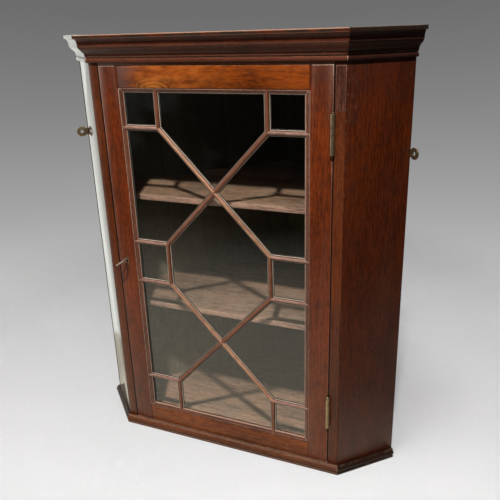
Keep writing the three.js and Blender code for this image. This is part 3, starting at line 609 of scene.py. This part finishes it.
# %% [markdown]
# ## Helpers for shaping
# A moulding is a section that travels along a line, as a plane cuts it. So the section is drawn first,
# point by point: `draw_to` draws straight lines and `draw_round` spins the last point into an arc. `prism`
# closes the section, eases its sharp corners and extrudes it. `trim` saws off an end at any angle and
# closes the cut. `bevelled` eases edges, `inset` leaves a rim round a face, and `lift` raises faces into a
# solid.

# %% Drawing a section
def draw_from(across, up):
    bm = bmesh.new()
    return bm, bmesh.ops.create_vert(bm, co=(across, up, 0))["vert"][0]


def draw_to(bm, last, *points):
    made = []
    for across, up in points:
        last = bmesh.ops.extrude_vert_indiv(bm, verts=[last])["verts"][0]
        last.co = (across, up, 0)
        made.append(last)
    return made


def verts_in(geometry):
    return [item for item in geometry if isinstance(item, bmesh.types.BMVert)]


def draw_round(bm, last, centre, turn, squeeze=1, steps=10):
    pivot = Vector((*centre, 0))
    before = set(bm.verts) - {last}
    last.co.y = pivot.y + (last.co.y - pivot.y) / squeeze
    swung = bmesh.ops.spin(bm, geom=[last], cent=pivot, axis=(0, 0, 1), angle=turn, steps=steps)
    arc = [vert for vert in bm.verts if vert not in before]
    bmesh.ops.scale(bm, vec=(1, squeeze, 1), space=Matrix.Translation(-pivot), verts=arc)
    return verts_in(swung["geom_last"])[0]


# %% From a section to a solid
def everything(bm):
    return bm.verts[:] + bm.edges[:] + bm.faces[:]


def bevelled(bm, sharp_places, width, affect="EDGES", segments=2, clamp=False):
    bmesh.ops.bevel(bm, geom=list(sharp_places), offset=width, offset_type="OFFSET", segments=segments,
                    profile=0.5, affect=affect, clamp_overlap=clamp, material=-1)


def inset(bm, width):
    return bmesh.ops.inset_region(bm, faces=bm.faces[:], thickness=width, use_even_offset=True,
                                  use_boundary=True)["faces"]


def lift(bm, faces, step):
    grown = bmesh.ops.extrude_face_region(bm, geom=faces)["geom"]
    bmesh.ops.translate(bm, verts=verts_in(grown), vec=step)


def prism(bm, last, length, corners=(), easing=0.3):
    bmesh.ops.contextual_create(bm, geom=[bm.verts[:][0], last])
    bmesh.ops.contextual_create(bm, geom=bm.edges[:])
    if corners:
        bevelled(bm, corners, easing, "VERTICES")
    lift(bm, bm.faces[:], (0, 0, length))


def trim(bm, point, outward):
    sawn = bmesh.ops.bisect_plane(bm, geom=everything(bm), plane_co=point, plane_no=outward,
                                  clear_outer=True, dist=1e-4)
    rim = [item for item in sawn["geom_cut"] if isinstance(item, bmesh.types.BMEdge)]
    if rim:
        bmesh.ops.edgeloop_fill(bm, edges=rim)


# %% [markdown]
# ## From a shape to a piece of the cupboard
# A shape drawn in millimetres becomes an object in the frame in one place. Doubles are merged, normals are
# turned outwards, and edges that are sharper than a chosen angle stay sharp in the shading. The frame is
# told which body the piece rides on and which solids it stands for.

# %% Finishing a piece
sharp_edge = math.radians(38)


def new_object(name, bm, materials):
    mesh = bpy.data.meshes.new(name)
    bm.to_mesh(mesh)
    bm.free()
    assert mesh.polygons, name + " has no faces"
    for material in materials:
        mesh.materials.append(material)
    made = bpy.data.objects.new(name, mesh)
    bpy.context.scene.collection.objects.link(made)
    return made


def finish_piece(bm, name, body, materials, stands_for=()):
    bmesh.ops.remove_doubles(bm, verts=bm.verts, dist=0.002)
    bmesh.ops.recalc_face_normals(bm, faces=bm.faces)
    bmesh.ops.transform(bm, matrix=to_frame, verts=bm.verts)
    for face in bm.faces:
        face.smooth = True
    for edge in bm.edges:
        edge.smooth = edge.calc_face_angle(0) < sharp_edge
    made = new_object(name, bm, materials)
    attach(made, body)
    if stands_for:
        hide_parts(*stands_for)


# %% [markdown]
# ## Cornice
# The cornice is planed from one length of mahogany: a bead, a quirk, an ogee, a fillet, a hollow and a
# square crown. Three lengths meet in mitres at the front corners. Each is drawn once as a section of its
# distance out from the case and its level, extruded along the case, and sawn off in the plane of the mitre.
# A curve with a bevel profile could do it too, but its mitres are harder to place and its ends stay open.

# %% Section of the cornice
def cornice_section():
    bm, last = draw_from(0.3, 896.2)
    bead_foot = draw_to(bm, last, (1.75, 896.2))[0]
    bead_top = draw_round(bm, bead_foot, (1.75, 900.95), math.pi, steps=14)
    _, _, step_foot, last = draw_to(bm, bead_top, (3.5, 905.7), (3.5, 907.7), (6, 907.7), (6, 911.2))
    ogee = interpolate_bezier((6, 911.2, 0), (6, 917.6, 0), (18.5, 922.3, 0), (18.5, 928.7, 0), 15)[1:]
    last = draw_to(bm, last, *[(point.x, point.y) for point in ogee])[-1]
    fillet_foot, fillet_top = draw_to(bm, last, (19.5, 928.7), (19.5, 932.7))
    last = draw_round(bm, fillet_top, (26.5, 932.7), -math.pi / 2, 11.5 / 7)
    crown_foot, crown_top, last = draw_to(bm, last, (28, 944.2), (28, 951.7), (0.3, 951.7))
    return bm, last, [step_foot, fillet_foot, crown_foot, crown_top]


# %% Three lengths in mitres
along_front = Matrix(((0, 0, 1, 0), (-1, 0, 0, 0), (0, 1, 0, 0), (0, 0, 0, 1)))
mitre = Vector((math.cos(math.pi / 8), math.sin(math.pi / 8), 0))
waste = 30


def run_of_moulding(section, name, finishes):
    for sign, side in ((0, "front"), (-1, "left"), (1, "right")):
        bm, last, corners = section()
        prism(bm, last, 2 * (half_front + waste) if sign == 0 else side_depth + waste, corners)
        bmesh.ops.transform(bm, matrix=along_front, verts=bm.verts)
        if sign == 0:
            bmesh.ops.translate(bm, verts=bm.verts, vec=(-half_front - waste, 0, 0))
            trim(bm, (half_front - joint_gap / 2, 0, 0), mitre)
            trim(bm, (joint_gap / 2 - half_front, 0, 0), (-mitre.x, mitre.y, 0))
        else:
            start = -waste if sign > 0 else -side_depth
            bmesh.ops.translate(bm, verts=bm.verts, vec=(start, 0, 0))
            bmesh.ops.transform(bm, matrix=side_matrix(sign), verts=bm.verts)
            trim(bm, (sign * (half_front + joint_gap / 2), 0, 0), (-sign * mitre.x, -mitre.y, 0))
        polish = [finish[finishes[side]]]
        finish_piece(bm, f"{name}_run_{side}", "case", polish, [f"{name}_{side}"])
        print(name, side, "is mitred and in place")


cornice_finishes = {"front": "cornice_front", "left": "cornice_left", "right": "cornice_right"}
run_of_moulding(cornice_section, "cornice", cornice_finishes)

# %% [markdown]
# ## Base moulding
# The base moulding is a round nose between two fillets, on a small plinth. The same tools make it, from a
# section of its own.

# %% Base moulding
def base_section():
    bm, last = draw_from(0.3, 0)
    foot, foot_top, _, last = draw_to(bm, last, (8, 0), (8, 5), (5, 5), (5, 7))
    last = draw_round(bm, last, (4.25, 12.75), math.pi, steps=14)
    _, fillet_top, last = draw_to(bm, last, (5, 18.5), (5, 22), (0.3, 22))
    return bm, last, [foot, foot_top, fillet_top]


base_finishes = {"front": "base_front", "left": "base_side", "right": "base_side"}
run_of_moulding(base_section, "base_moulding", base_finishes)

# %% [markdown]
# ## Case boards and posts
# These are plain boards whose solids already have the right grooves, notches and recesses, so there is
# nothing to draw again. A copy of each is merged, its coplanar triangles are dissolved, and its long
# arrises are eased with a small bevel, as sandpaper and two centuries of handling leave them. The inner
# faces of a polished board were left plain, so faces that look inwards get the second material of a piece.
# On the posts that second material is the near-black quirk finish on the faces toward the door: painted
# shade in the gap.

# %% Helpers for boards
arris_angle = math.radians(55)


def copied(name):
    bm = bmesh.new()
    bm.from_mesh(nodes[name].data)
    bmesh.ops.transform(bm, matrix=to_frame.inverted(), verts=bm.verts)
    bmesh.ops.remove_doubles(bm, verts=bm.verts, dist=0.01)
    bmesh.ops.dissolve_limit(bm, angle_limit=math.radians(0.6), verts=bm.verts, edges=bm.edges)
    return bm


def ease_edges(bm, amount, shortest=14):
    long_edges = [edge for edge in bm.edges if edge.is_manifold and edge.calc_length() > shortest
                  and edge.calc_face_angle_signed(0) > arris_angle]
    bevelled(bm, long_edges, amount, clamp=True)
    bm.normal_update()


def plain_inside(bm, outward):
    for face in bm.faces:
        face.material_index = 1 if face.normal.dot(Vector(outward)) < -0.5 else 0


def refine(name, new_name, body, materials, easing=0.5, outward=None, shortest=14):
    bm = copied(name)
    ease_edges(bm, easing, shortest)
    if outward:
        plain_inside(bm, outward)
    finish_piece(bm, new_name, body, materials, [name])


# %% Sides, posts, top and shelves
for sign, side in ((-1, "left"), (1, "right")):
    out = side_matrix(sign).to_3x3() @ Vector((0, -1, 0))
    refine(f"return_{side}", f"side_board_{side}", "case", [finish[f"side_{side}"], pine_upright],
           0.6, out)
    # The post's faces toward the door take the quirk finish: painted shade in the gap.
    refine(f"post_{side}", f"front_post_{side}", "case", [finish["mahogany_post"], finish["quirk"]],
           0.5, (sign, 0, 0))
refine("top_board", "top_board_worked", "case", [pine_level, finish["base_front"]], 0.6, (0, 1, 0))
for name, wood, easing in (("bottom_board", bottom_wood, 0.6), ("shelf_upper", upper_shelf_wood, 1.2),
                           ("shelf_lower", shelf_wood, 1.2)):
    refine(name, f"{name}_worked", "case", [wood, shelf_edge], easing, (0, 1, 0))
print("boards, posts and sides are eased")

# %% [markdown]
# ## Back boards
# No board is wide enough for a whole back, so each side of the back is nailed together from three planks,
# whose joints show as fine lines. A copy of the solid is sawn into planks a millimetre apart, and each
# plank is eased.

# %% Back planks
def plank(side, sign, number, start, end):
    bm = copied(f"back_board_{side}")
    place = side_matrix(sign)
    inward = place.to_3x3() @ Vector((0, 1, 0))
    trim(bm, place @ Vector((0, start, 0)), -inward)
    trim(bm, place @ Vector((0, end, 0)), inward)
    ease_edges(bm, 0.8)
    plain_inside(bm, place.to_3x3() @ Vector((-sign, 0, 0)))
    name = f"back_plank_{side}_{number}"
    finish_piece(bm, name, "case", [paint_inside, pine_upright], [f"back_board_{side}"])


half_joint = 0.5
for sign, side, joints in ((-1, "left", (0, 176, 350, 560)), (1, "right", (0, 182, 366, 560))):
    for number in range(3):
        plank(side, sign, number + 1, joints[number] + half_joint, joints[number + 1] - half_joint)
    print("three planks on the", side)

# %% [markdown]
# ## Door frame
# Stiles and rails carry an ovolo moulding on their inner edge, mitred in the corners. Their solids have it,
# with few facets, and smooth shading across the shallow angles makes it round. What the solids don't have
# is colour by strips: a dark quirk where the moulding starts, which is painted shade, an arris beside it,
# pale from wear and painted highlight, and a pale lip next to the glass, also wear and painted highlight.
# On the left stile the faces beyond the lip are painted dark too, as shade beside the glass. So each piece
# is cut along those lines with bisect_plane, which keeps the shape, and the strips get materials of their
# own.

# %% Door frame
sight_side, sight_foot, sight_top = 207.5, 64.5, 847
quirk_end, arris_end, lip_start, lip_end, moulding_end = 1.3, 2.4, 8.1, 8.9, 10.1
moulding_depth = 10


def frame_piece(title, flat, direction, edge, inward, arris):
    inward = Vector(inward)
    begins = Vector(edge).dot(inward)
    bm = copied(f"door_{title}")
    ease_edges(bm, 0.4)
    for past in (quirk_end, arris_end, lip_end):
        bmesh.ops.bisect_plane(bm, geom=everything(bm), dist=0.01, plane_co=Vector(edge) + inward * past,
                               plane_no=inward)
    bm.normal_update()
    for face in bm.faces:
        middle = face.calc_center_median()
        past = middle.dot(inward) - begins
        if 0.3 < middle.y < moulding_depth and -0.05 < past < moulding_end:
            # The front of the lip takes the arris finish: wear and painted highlight.
            lip = 3 if face.normal.y < -0.8 and past > lip_start else 1
            # On the left stile, faces beyond the lip take the quirk finish: painted shade beside the glass.
            dirty_lip = past > lip_end and "left" in title
            face.material_index = 2 if past < quirk_end or dirty_lip else 3 if past < arris_end else lip
    strips = [finish[look] for look in (flat, f"moulding_{direction}", "quirk", arris)]
    finish_piece(bm, title, "door", strips, [f"door_{title}"])
    print(title, "is cut into strips")


for sign, side in ((-1, "left"), (1, "right")):
    frame_piece(f"stile_{side}", "mahogany_upright", "upright", (sign * sight_side, 0, 0), (-sign, 0, 0),
                "frame_arris")
frame_piece("rail_top", "mahogany_rail", "level", (0, 0, sight_top), (0, 0, -1), "fillet_worn_and_highlit")
frame_piece("rail_bottom", "mahogany_level", "level", (0, 0, sight_foot), (0, 0, 1), "bar_fillet_dull")

# %% [markdown]
# ## Glazing bars
# The bars form squares in the corners and two crosses between them. A bar has a round nose in front, a
# narrow fillet on each side with a quirk beside it, and a thin fin between the panes. Bars meet in mitres,
# so each end is sawn in the planes that halve the angles to its neighbours. At the door frame a bar runs on
# until its nose dies into the ovolo. A point of the lattice is given as its distance from the door's middle
# and its level.

# %% One glazing bar
spare = 12
saw_gap = 0.08
nose_half, quirk_edge, fin_start = 3.85, 5.1, 6.5


def bar_section():
    bm, last = draw_from(1.5, 16)
    left = draw_to(bm, last, (-1.5, 16), (-1.5, 6), (-6, 6), (-6, 4.5), (-5.1, 4.5), (-4.5, 5.5), (-3.9, 4.5))
    last = draw_round(bm, left[-1], (0, 4.5), math.pi, 4 / 3.9, steps=16)
    right = draw_to(bm, last, (4.5, 5.5), (5.1, 4.5), (6, 4.5), (6, 6), (1.5, 6))
    return bm, right[-1], [left[3], right[2]]


def on_door(point):
    return Vector((point[0], 0, point[1]))


def way(start, end):
    return on_door((end[0] - start[0], end[1] - start[1]))


def glazing_bar(name, stands_for, start, end, meetings, look):
    direction = way(start, end).normalized()
    bm, last, corners = bar_section()
    prism(bm, last, way(start, end).length + 2 * spare, corners, 0.35)
    sideways = Vector((0, 1, 0)).cross(direction)
    turned = Matrix((sideways, Vector((0, 1, 0)), direction)).transposed().to_4x4()
    first_point = on_door(start) - direction * spare
    bmesh.ops.transform(bm, matrix=Matrix.Translation(first_point) @ turned, verts=bm.verts)
    for meeting, own, others in meetings:
        for other in others:
            outward = (other - own).normalized()
            trim(bm, on_door(meeting) - outward * saw_gap, outward)
    met = [meeting for meeting, own, others in meetings]
    if end not in met:
        trim(bm, on_door(end), direction)
    if start not in met:
        trim(bm, on_door(start), -direction)
    # The groove beside the nose takes the quirk finish: painted shade.
    for face in bm.faces:
        middle = face.calc_center_median()
        across = abs((middle - on_door(start)).dot(sideways))
        if middle.y < fin_start and across > nose_half:
            face.material_index = 2 if across < quirk_edge else 1
    # Rising bars miss the key's highlight, so their fillets take the dull copy; the others show painted
    # highlight.
    fillet = "bar_fillet_dull" if look == "bar_rising" else "fillet_worn_and_highlit"
    finish_piece(bm, name, "door", [finish[look], finish[fillet], finish["quirk"]], [stands_for])


# %% Bars of the squares
bar_node = 122
frame_side, frame_top, frame_foot = 207.3, 846.8, 64.7
cross_upper, cross_lower = (0, 635.825), (0, 282.075)
joint_levels = 764.6, 507.05, 410.85, 153.3
upright_ends = frame_top, joint_levels[2], joint_levels[1], frame_foot
crosses = cross_upper, cross_upper, cross_lower, cross_lower
upright_numbers = {1: 1, 2: 2, 4: 3}


def corner_bars(sign, side):
    across = Vector((sign, 0, 0))
    for number, (level, far_level, cross) in enumerate(zip(joint_levels, upright_ends, crosses), 1):
        joint, far = (sign * bar_node, level), (sign * bar_node, far_level)
        rise = way(joint, far).normalized()
        slope = way(joint, cross).normalized()
        glazing_bar(f"bar_across_{side}_{number}", f"bar_level_{side}_{number}", (sign * frame_side, level),
                    joint, [(joint, across, [rise, slope])], "bar_level")
        if number in upright_numbers:
            meetings = [(joint, rise, [across, slope])]
            if number == 2:
                meetings.append((far, -rise, [across, way(far, cross_lower).normalized()]))
            title = f"{side}_{upright_numbers[number]}"
            glazing_bar(f"bar_up_{title}", f"bar_upright_{title}", far, joint, meetings, "bar_upright")


# %% Bars of the crosses
def slanting_bar(sign, side, part, high, cross, low):
    look = "bar_rising" if sign > 0 else "bar_falling"
    top, bottom = (sign * bar_node, high), (-sign * bar_node, low)
    for end, name, rise in ((top, "head", 1), (bottom, "tail", -1)):
        inward = way(end, cross).normalized()
        outer = [Vector((math.copysign(1, end[0]), 0, 0)), Vector((0, 0, rise))]
        crossing = [Vector((-inward.x, 0, inward.z)), Vector((inward.x, 0, -inward.z))]
        meetings = [(end, inward, outer), (cross, -inward, crossing)]
        glazing_bar(f"bar_slope_{part}_{side}_{name}", f"bar_slant_{part}_{side}", end, cross, meetings, look)


for sign, side in ((-1, "left"), (1, "right")):
    corner_bars(sign, side)
    slanting_bar(sign, side, "upper", joint_levels[0], cross_upper, joint_levels[1])
    slanting_bar(sign, side, "lower", joint_levels[2], cross_lower, joint_levels[3])
    print("glazing bars mitred on the", side)

# %% [markdown]
# ## Panes and putty
# The panes are thin sheets whose solids are right already, so they only get their glass. Behind each, a
# bead of putty slopes from the glass to the fin or to the frame. A bead could be drawn as a section and
# mitred like a bar, but a copy of the pane's back face is quicker: it is inset by the bead's width, its rim
# is pushed back to the edge of the fin, and the ring is extruded onto the glass.

# %% Panes and putty
bead_width = 5.1
bead_depth = 6.2
lock_stile_line, wider_at_lock_stile = -192, 2.8


def putty_bead(name):
    bm = copied(name)
    back = max(vert.co.y for vert in bm.verts)
    front_side = [face for face in bm.faces if any(vert.co.y < back - 0.5 for vert in face.verts)]
    bmesh.ops.delete(bm, geom=front_side, context="FACES")
    ring = inset(bm, bead_width)
    inner = [face for face in bm.faces if face not in ring]
    inner_verts = {vert for face in inner for vert in face.verts}
    beside_lock_stile = [vert for vert in inner_verts if vert.co.x < lock_stile_line]
    bmesh.ops.translate(bm, verts=beside_lock_stile, vec=(wider_at_lock_stile, 0, 0))
    bmesh.ops.delete(bm, geom=inner, context="FACES_ONLY")
    outer = [vert for vert in bm.verts if vert not in inner_verts]
    bmesh.ops.translate(bm, verts=outer, vec=(0, bead_depth, 0))
    for vert in verts_in(bmesh.ops.extrude_face_region(bm, geom=bm.faces[:])["geom"]):
        vert.co.y = back + 0.02
    finish_piece(bm, name.replace("pane", "putty"), "door", [putty])


panes = [name for name in sorted(nodes) if name.startswith("pane_")]
for name in panes:
    dress(name, glass)
    putty_bead(name)
print(len(panes), "panes are bedded")

# %% [markdown]
# ## Bedding putty as painted shade
# A pane is bedded in a thin line of putty before it is pinned. Along the closing stile a thin near-black
# strip of it is put in front of the glass, where it paints the shade that falls beside the lip. A thin
# triangle in section is all that shows.

# %% Bedding putty as painted shade
pane_foot, pane_top = 74.5, 837
bm, last = draw_from(-197.6, 4.7)
prism(bm, draw_to(bm, last, (-194.7, 5.97), (-197.6, 5.97))[-1], pane_top - pane_foot)
bmesh.ops.translate(bm, vec=(0, 0, pane_foot), verts=bm.verts)
finish_piece(bm, "bedding_putty_shade", "door", [putty])
print("a line of bedding putty runs down the closing stile")

# %% [markdown]
# ## Hinges, hanging plates and lock
# The butts are brass leaves that turn on a pin, and the plates are cut from sheet. Their solids have the
# round forms, so easing their edges is enough: it gives each arris the small highlight that makes metal
# look solid. The lock and the key keep their solids, because little of them shows, and get a finish alone.

# %% Metalwork from the solids
hinge_leaves = [(f"{level}_{body}_leaf", body) for level in ("upper", "lower") for body in ("case", "door")]
for title, body in hinge_leaves:
    refine(f"hinge_{title}", f"butt_{title}", body, [brass], 0.25, shortest=5)
for side in ("left", "right"):
    refine(f"hanging_plate_{side}", f"wall_plate_{side}", "case", [brass], 0.4, shortest=2)
for name, material in (("lock_case", brass), ("lock_bolt", brass), ("key", steel)):
    dress(name, material)
print("metalwork:", len(hinge_leaves), "hinge leaves, two plates, lock and key")

# %% [markdown]
# ## An old repair
# A piece of another board was let into the head of the right post, and its edges still show. A real inlay
# would be cut into the post. A patch a fifth of a millimetre proud with eased edges looks the same, and
# needs no hole.

# %% A repair let into the post
patch_size = (18.5, 0.23, 80.5)
patch_middle = (266.2, -0.135, 848.8)
bm = bmesh.new()
bmesh.ops.create_cube(bm, size=1)
bmesh.ops.scale(bm, vec=patch_size, verts=bm.verts)
bevelled(bm, bm.edges, 0.1, segments=1)
bmesh.ops.translate(bm, vec=patch_middle, verts=bm.verts)
finish_piece(bm, "post_repair", "case", [finish["repair_wood"]])
print("the repair is in the post")

# %% [markdown]
# ## Keyhole edging
# A thin brass edging lines the keyhole and keeps the key from bruising the wood. Its outline is a round
# with a straight foot. It is drawn as a line and an arc, filled, inset to leave a rim, and raised a little.

# %% Keyhole edging
facing_front = Matrix(((1, 0, 0, 0), (0, 0, -1, 0), (0, 1, 0, 0), (0, 0, 0, 1)))
key_axis = (-232, -0.03, 461.5)
slot_half, slot_foot, slot_shoulder = 2.8, -10.6, -2.995
round_sweep, edging_width, edging_height = math.radians(273.8), 0.95, 0.4
bm, last = draw_from(slot_half, slot_foot)
last = draw_to(bm, last, (slot_half, slot_shoulder))[0]
last = draw_round(bm, last, (0, 0), round_sweep, steps=20)
last = draw_to(bm, last, (-slot_half, slot_foot))[0]
bmesh.ops.contextual_create(bm, geom=[bm.verts[:][0], last])
bmesh.ops.contextual_create(bm, geom=bm.edges[:])
rim = inset(bm, edging_width)
bmesh.ops.delete(bm, geom=[face for face in bm.faces if face not in rim], context="FACES_ONLY")
lift(bm, bm.faces[:], (0, 0, edging_height))
bmesh.ops.transform(bm, matrix=Matrix.Translation(key_axis) @ facing_front, verts=bm.verts)
finish_piece(bm, "keyhole_edging", "door", [brass])
print("keyhole edged")

# %% [markdown]
# ## Screws
# Hinges and lock are held by slotted screws, countersunk flush. Only the heads show. Each is a low disc
# with two half discs on top, and the gap between the halves is the slot. No two slots stand the same way,
# so every head is turned a little further than the last.

# %% Screw heads
def add_screw(bm, place, radius, height=0.3, slot=0.9):
    before = set(bm.verts)
    bmesh.ops.create_circle(bm, cap_ends=True, segments=16, radius=radius)
    base = [vert for vert in bm.verts if vert not in before]
    lift(bm, list({face for vert in base for face in vert.link_faces}), (0, 0, height / 2))
    for side in (-1, 1):
        start = set(bm.verts)
        low_point = (side * slot / 2, -math.sqrt(radius ** 2 - slot ** 2 / 4), height / 2 + 0.01)
        arc = bmesh.ops.create_vert(bm, co=low_point)["vert"]
        sweep = side * (math.pi - 2 * math.asin(slot / 2 / radius))
        bmesh.ops.spin(bm, geom=arc, cent=(0, 0, 0), axis=(0, 0, 1), angle=sweep, steps=7)
        rim = [vert for vert in bm.verts if vert not in start]
        lift(bm, bmesh.ops.contextual_create(bm, geom=rim)["faces"], (0, 0, height / 2))
    bmesh.ops.transform(bm, matrix=place, verts=[vert for vert in bm.verts if vert not in before])


def screws(name, body, facing, points, radius=3):
    turned = Vector(facing).to_track_quat("Z", "Y").to_matrix().to_4x4()
    bm = bmesh.new()
    for number, point in enumerate(points):
        add_screw(bm, Matrix.Translation(point) @ turned @ Matrix.Rotation(number * 1.1, 4, "Z"), radius)
    finish_piece(bm, name, body, [brass])
    print(name, "has", len(points), "heads")


post_face, stile_face, door_back, leaf_middle = 254.08, 252.52, 20.02, 10
hinge_levels = [middle + step for middle in (767, 159.5) for step in (-24, 0, 24)]
lock_corners = [(-246.5, 445), (-218.5, 445), (-246.5, 486), (-218.5, 486)]
for body, sign, face in (("case", -1, post_face), ("door", 1, stile_face)):
    screws(f"hinge_screws_{body}", body, (sign, 0, 0), [(face, leaf_middle, level) for level in hinge_levels])
screws("lock_screws", "door", (0, 1, 0), [(x, door_back, z) for x, z in lock_corners], 2.6)

# %% [markdown]
# ## Floor and backdrop
# A studio photographer stands the piece on a pale sweep of paper that turns up behind it and falls off to
# grey. Here a round floor meets a cove, and both share one kind of material. It answers three kinds of ray.
# To the camera it shows an even fall from white to grey, as an Emission, so that no lamp can clip it, and
# less of it near the object, where a plain diffuse share takes the shadow. To a mirror ray, sorted out with
# Is Glossy Ray and Glossy Depth, it shows the room that polish and glass reflect: pale paper in front, a
# pale wall on the left and faint shapes far off. To every other ray it is a dim grey, so it adds little
# light to the object.

# %% What the camera sees of the stage
fall_off = [(0.0, 0.845), (0.006, 0.829), (0.024, 0.765), (0.048, 0.690), (0.078, 0.625), (0.120, 0.560),
            (0.179, 0.448), (0.222, 0.392), (0.282, 0.352), (0.354, 0.319), (0.433, 0.283), (0.606, 0.227),
            (0.788, 0.184), (0.963, 0.153)]


def seen_stage(tree, place, distance, share_lit):
    receding = vectors("DOT_PRODUCT", place, (-0.33, 0.944, 5))
    travelled = math_of("DIVIDE", math_of("ADD", receding, 0.4), 9)
    ramp = node(tree, "ValToRGB", {0: travelled})
    while len(ramp.color_ramp.elements) < len(fall_off):
        ramp.color_ramp.elements.new(0.5)
    for element, (position, level) in zip(ramp.color_ramp.elements, fall_off):
        element.position = position
        element.color = (level, level, level, 1)
    lit_share = times(between(distance, 1.75, 1.0), share_lit)
    own_glow = times_plus(lit_share, -3.0, ramp.outputs[0])
    glow = node(tree, "Emission", {"Color": (1, 1, 1), "Strength": own_glow})
    lit = node(tree, "BsdfDiffuse", {"Color": lit_share})
    return node(tree, "AddShader", {0: glow.outputs[0], 1: lit.outputs[0]}).outputs[0]


# %% What polish and glass reflect of it
def mirrored_stage(tree, place, distance):
    apart = node(tree, "SeparateXYZ", {"Vector": place}).outputs
    in_front = times(between(apart["Y"], -1.9, -0.55), between(apart["X"], 0.7, 0.15))
    from_right = vectors("DISTANCE", place, (0.75, -0.2, 0))
    beside = times(between(from_right, 0.75, 0.1), 0.22)
    near = math_of("MAXIMUM", times(in_front, 0.88), beside)
    shapes = between(noise(place, 1.3, 3, 0.6), 0.52, 0.66)
    far_shapes = times(shapes, between(distance, 1.6, 2.6))
    faint = times_plus(far_shapes, 0.14, 0.008)
    left = between(minus(apart["Y"], apart["X"]), 0.2, 0.45)
    beyond = between(distance, 0.63, 0.67)
    wall = times(left, minus(times_plus(beyond, 0.6, 0.6), near))
    level = math_of("ADD", math_of("ADD", near, wall), faint)
    warm = mix(far_shapes, (1, 0.93, 0.76), (0.75, 0.88, 1))
    tint = mix(times(left, beyond), warm, (0.97, 1, 0.93))
    return node(tree, "Emission", {"Color": tint, "Strength": level}).outputs[0]


# %% Material of the stage
def stage_material(name, share_lit):
    material, tree = empty_material(name)
    place = object_place(tree)
    distance = vectors("LENGTH", vectors("MULTIPLY", place, (1, 1, 0)))
    path = node(tree, "LightPath").outputs
    seen = math_of("MAXIMUM", path["Is Camera Ray"], path["Is Transmission Ray"])
    mirror_ray = math_of("MINIMUM", path["Is Glossy Ray"], path["Glossy Depth"])
    grey = node(tree, "BsdfDiffuse", {"Color": (0.16, 0.16, 0.16)}).outputs[0]
    direct = choose(tree, seen, grey, seen_stage(tree, place, distance, share_lit))
    front = choose(tree, mirror_ray, direct, mirrored_stage(tree, place, distance))
    from_behind = node(tree, "NewGeometry").outputs["Backfacing"]
    clear = node(tree, "BsdfTransparent").outputs[0]
    node(tree, "OutputMaterial", {0: choose(tree, from_behind, front, clear)})
    return material


# %% Floor and cove
floor_radius, cove_radius, wall_top = 1.9, 1.2, (3.1, 0, 6)
bm = bmesh.new()
bmesh.ops.create_circle(bm, cap_ends=True, segments=96, radius=floor_radius)
floor = new_object("floor", bm, [stage_material("floor_finish", 0.12)])

bm = bmesh.new()
start = bmesh.ops.create_vert(bm, co=(floor_radius, 0, 0))["vert"]
curve = bmesh.ops.spin(bm, geom=start, cent=(floor_radius, 0, cove_radius), axis=(0, -1, 0),
                       angle=math.pi / 2, steps=16)
top = verts_in(curve["geom_last"])
bmesh.ops.extrude_vert_indiv(bm, verts=top)["verts"][0].co = wall_top
bmesh.ops.spin(bm, geom=everything(bm), cent=(0, 0, 0), axis=(0, 0, 1), angle=2 * math.pi, steps=96,
               use_merge=True)
bmesh.ops.recalc_face_normals(bm, faces=bm.faces[:])
if bm.faces[:][0].normal.z < 0:
    bmesh.ops.reverse_faces(bm, faces=bm.faces[:])
for face in bm.faces:
    face.smooth = True
cove = new_object("backdrop", bm, [stage_material("backdrop_finish", 0.0)])
cove.visible_diffuse = False
cove.visible_shadow = False
print("the stage is", 2 * floor_radius, "m across")

# %% [markdown]
# ## Light
# One small lamp, high and a little to the right, is the key. It is small because the photograph shows crisp
# shadows of the lattice on the shelves. Two wide, weak lamps soften what it leaves dark, and polish doesn't
# show them. The floor's own soft shadow falls another way than the key's, as it does under a second studio
# light, so a broad sun makes it, and light linking keeps that sun to the floor.

# %% Light
def lamp(name, position, size, power):
    data = bpy.data.lights.new(name, "AREA")
    data.shape = "RECTANGLE"
    data.size, data.size_y = size
    data.energy = power
    made = bpy.data.objects.new(name, data)
    made.location = position
    made.rotation_euler = (middle_of_front - Vector(position)).to_track_quat("-Z", "Y").to_euler()
    made.visible_camera = False
    made.visible_glossy = name == "key"
    bpy.context.scene.collection.objects.link(made)


middle_of_front = Vector((0, -0.1, 0.45))
lamp("key", middle_of_front + Vector((0.195, -0.698, 1)) * 3.2, (0.19, 0.19), 165)
lamp("soft_left", (-2.3, -1.2, 1.7), (1.2, 1.2), 10)
lamp("soft_top", (-0.4, -0.9, 2.9), (1.6, 1.2), 6)
sun_data = bpy.data.lights.new("floor_light", "SUN")
sun_data.energy = 5.0
sun_data.angle = math.radians(15)
floor_light = bpy.data.objects.new("floor_light", sun_data)
floor_light.rotation_euler = Vector((0.154, 0.268, -0.951)).to_track_quat("-Z", "Y").to_euler()
bpy.context.scene.collection.objects.link(floor_light)
floor_only = bpy.data.collections.new("floor_only")
floor_only.objects.link(floor)
floor_light.light_linking.receiver_collection = floor_only
print("lamps:", ", ".join(light.name for light in bpy.data.lights))

# %% World and view
world = bpy.data.worlds.new("world")
world.use_nodes = True
background = world.node_tree.nodes["Background"]
background.inputs["Color"].default_value = (1, 1, 1, 1)
background.inputs["Strength"].default_value = 0.05
bpy.context.scene.world = world
bpy.context.scene.view_settings.view_transform = "Standard"
print("view transform:", bpy.context.scene.view_settings.view_transform)
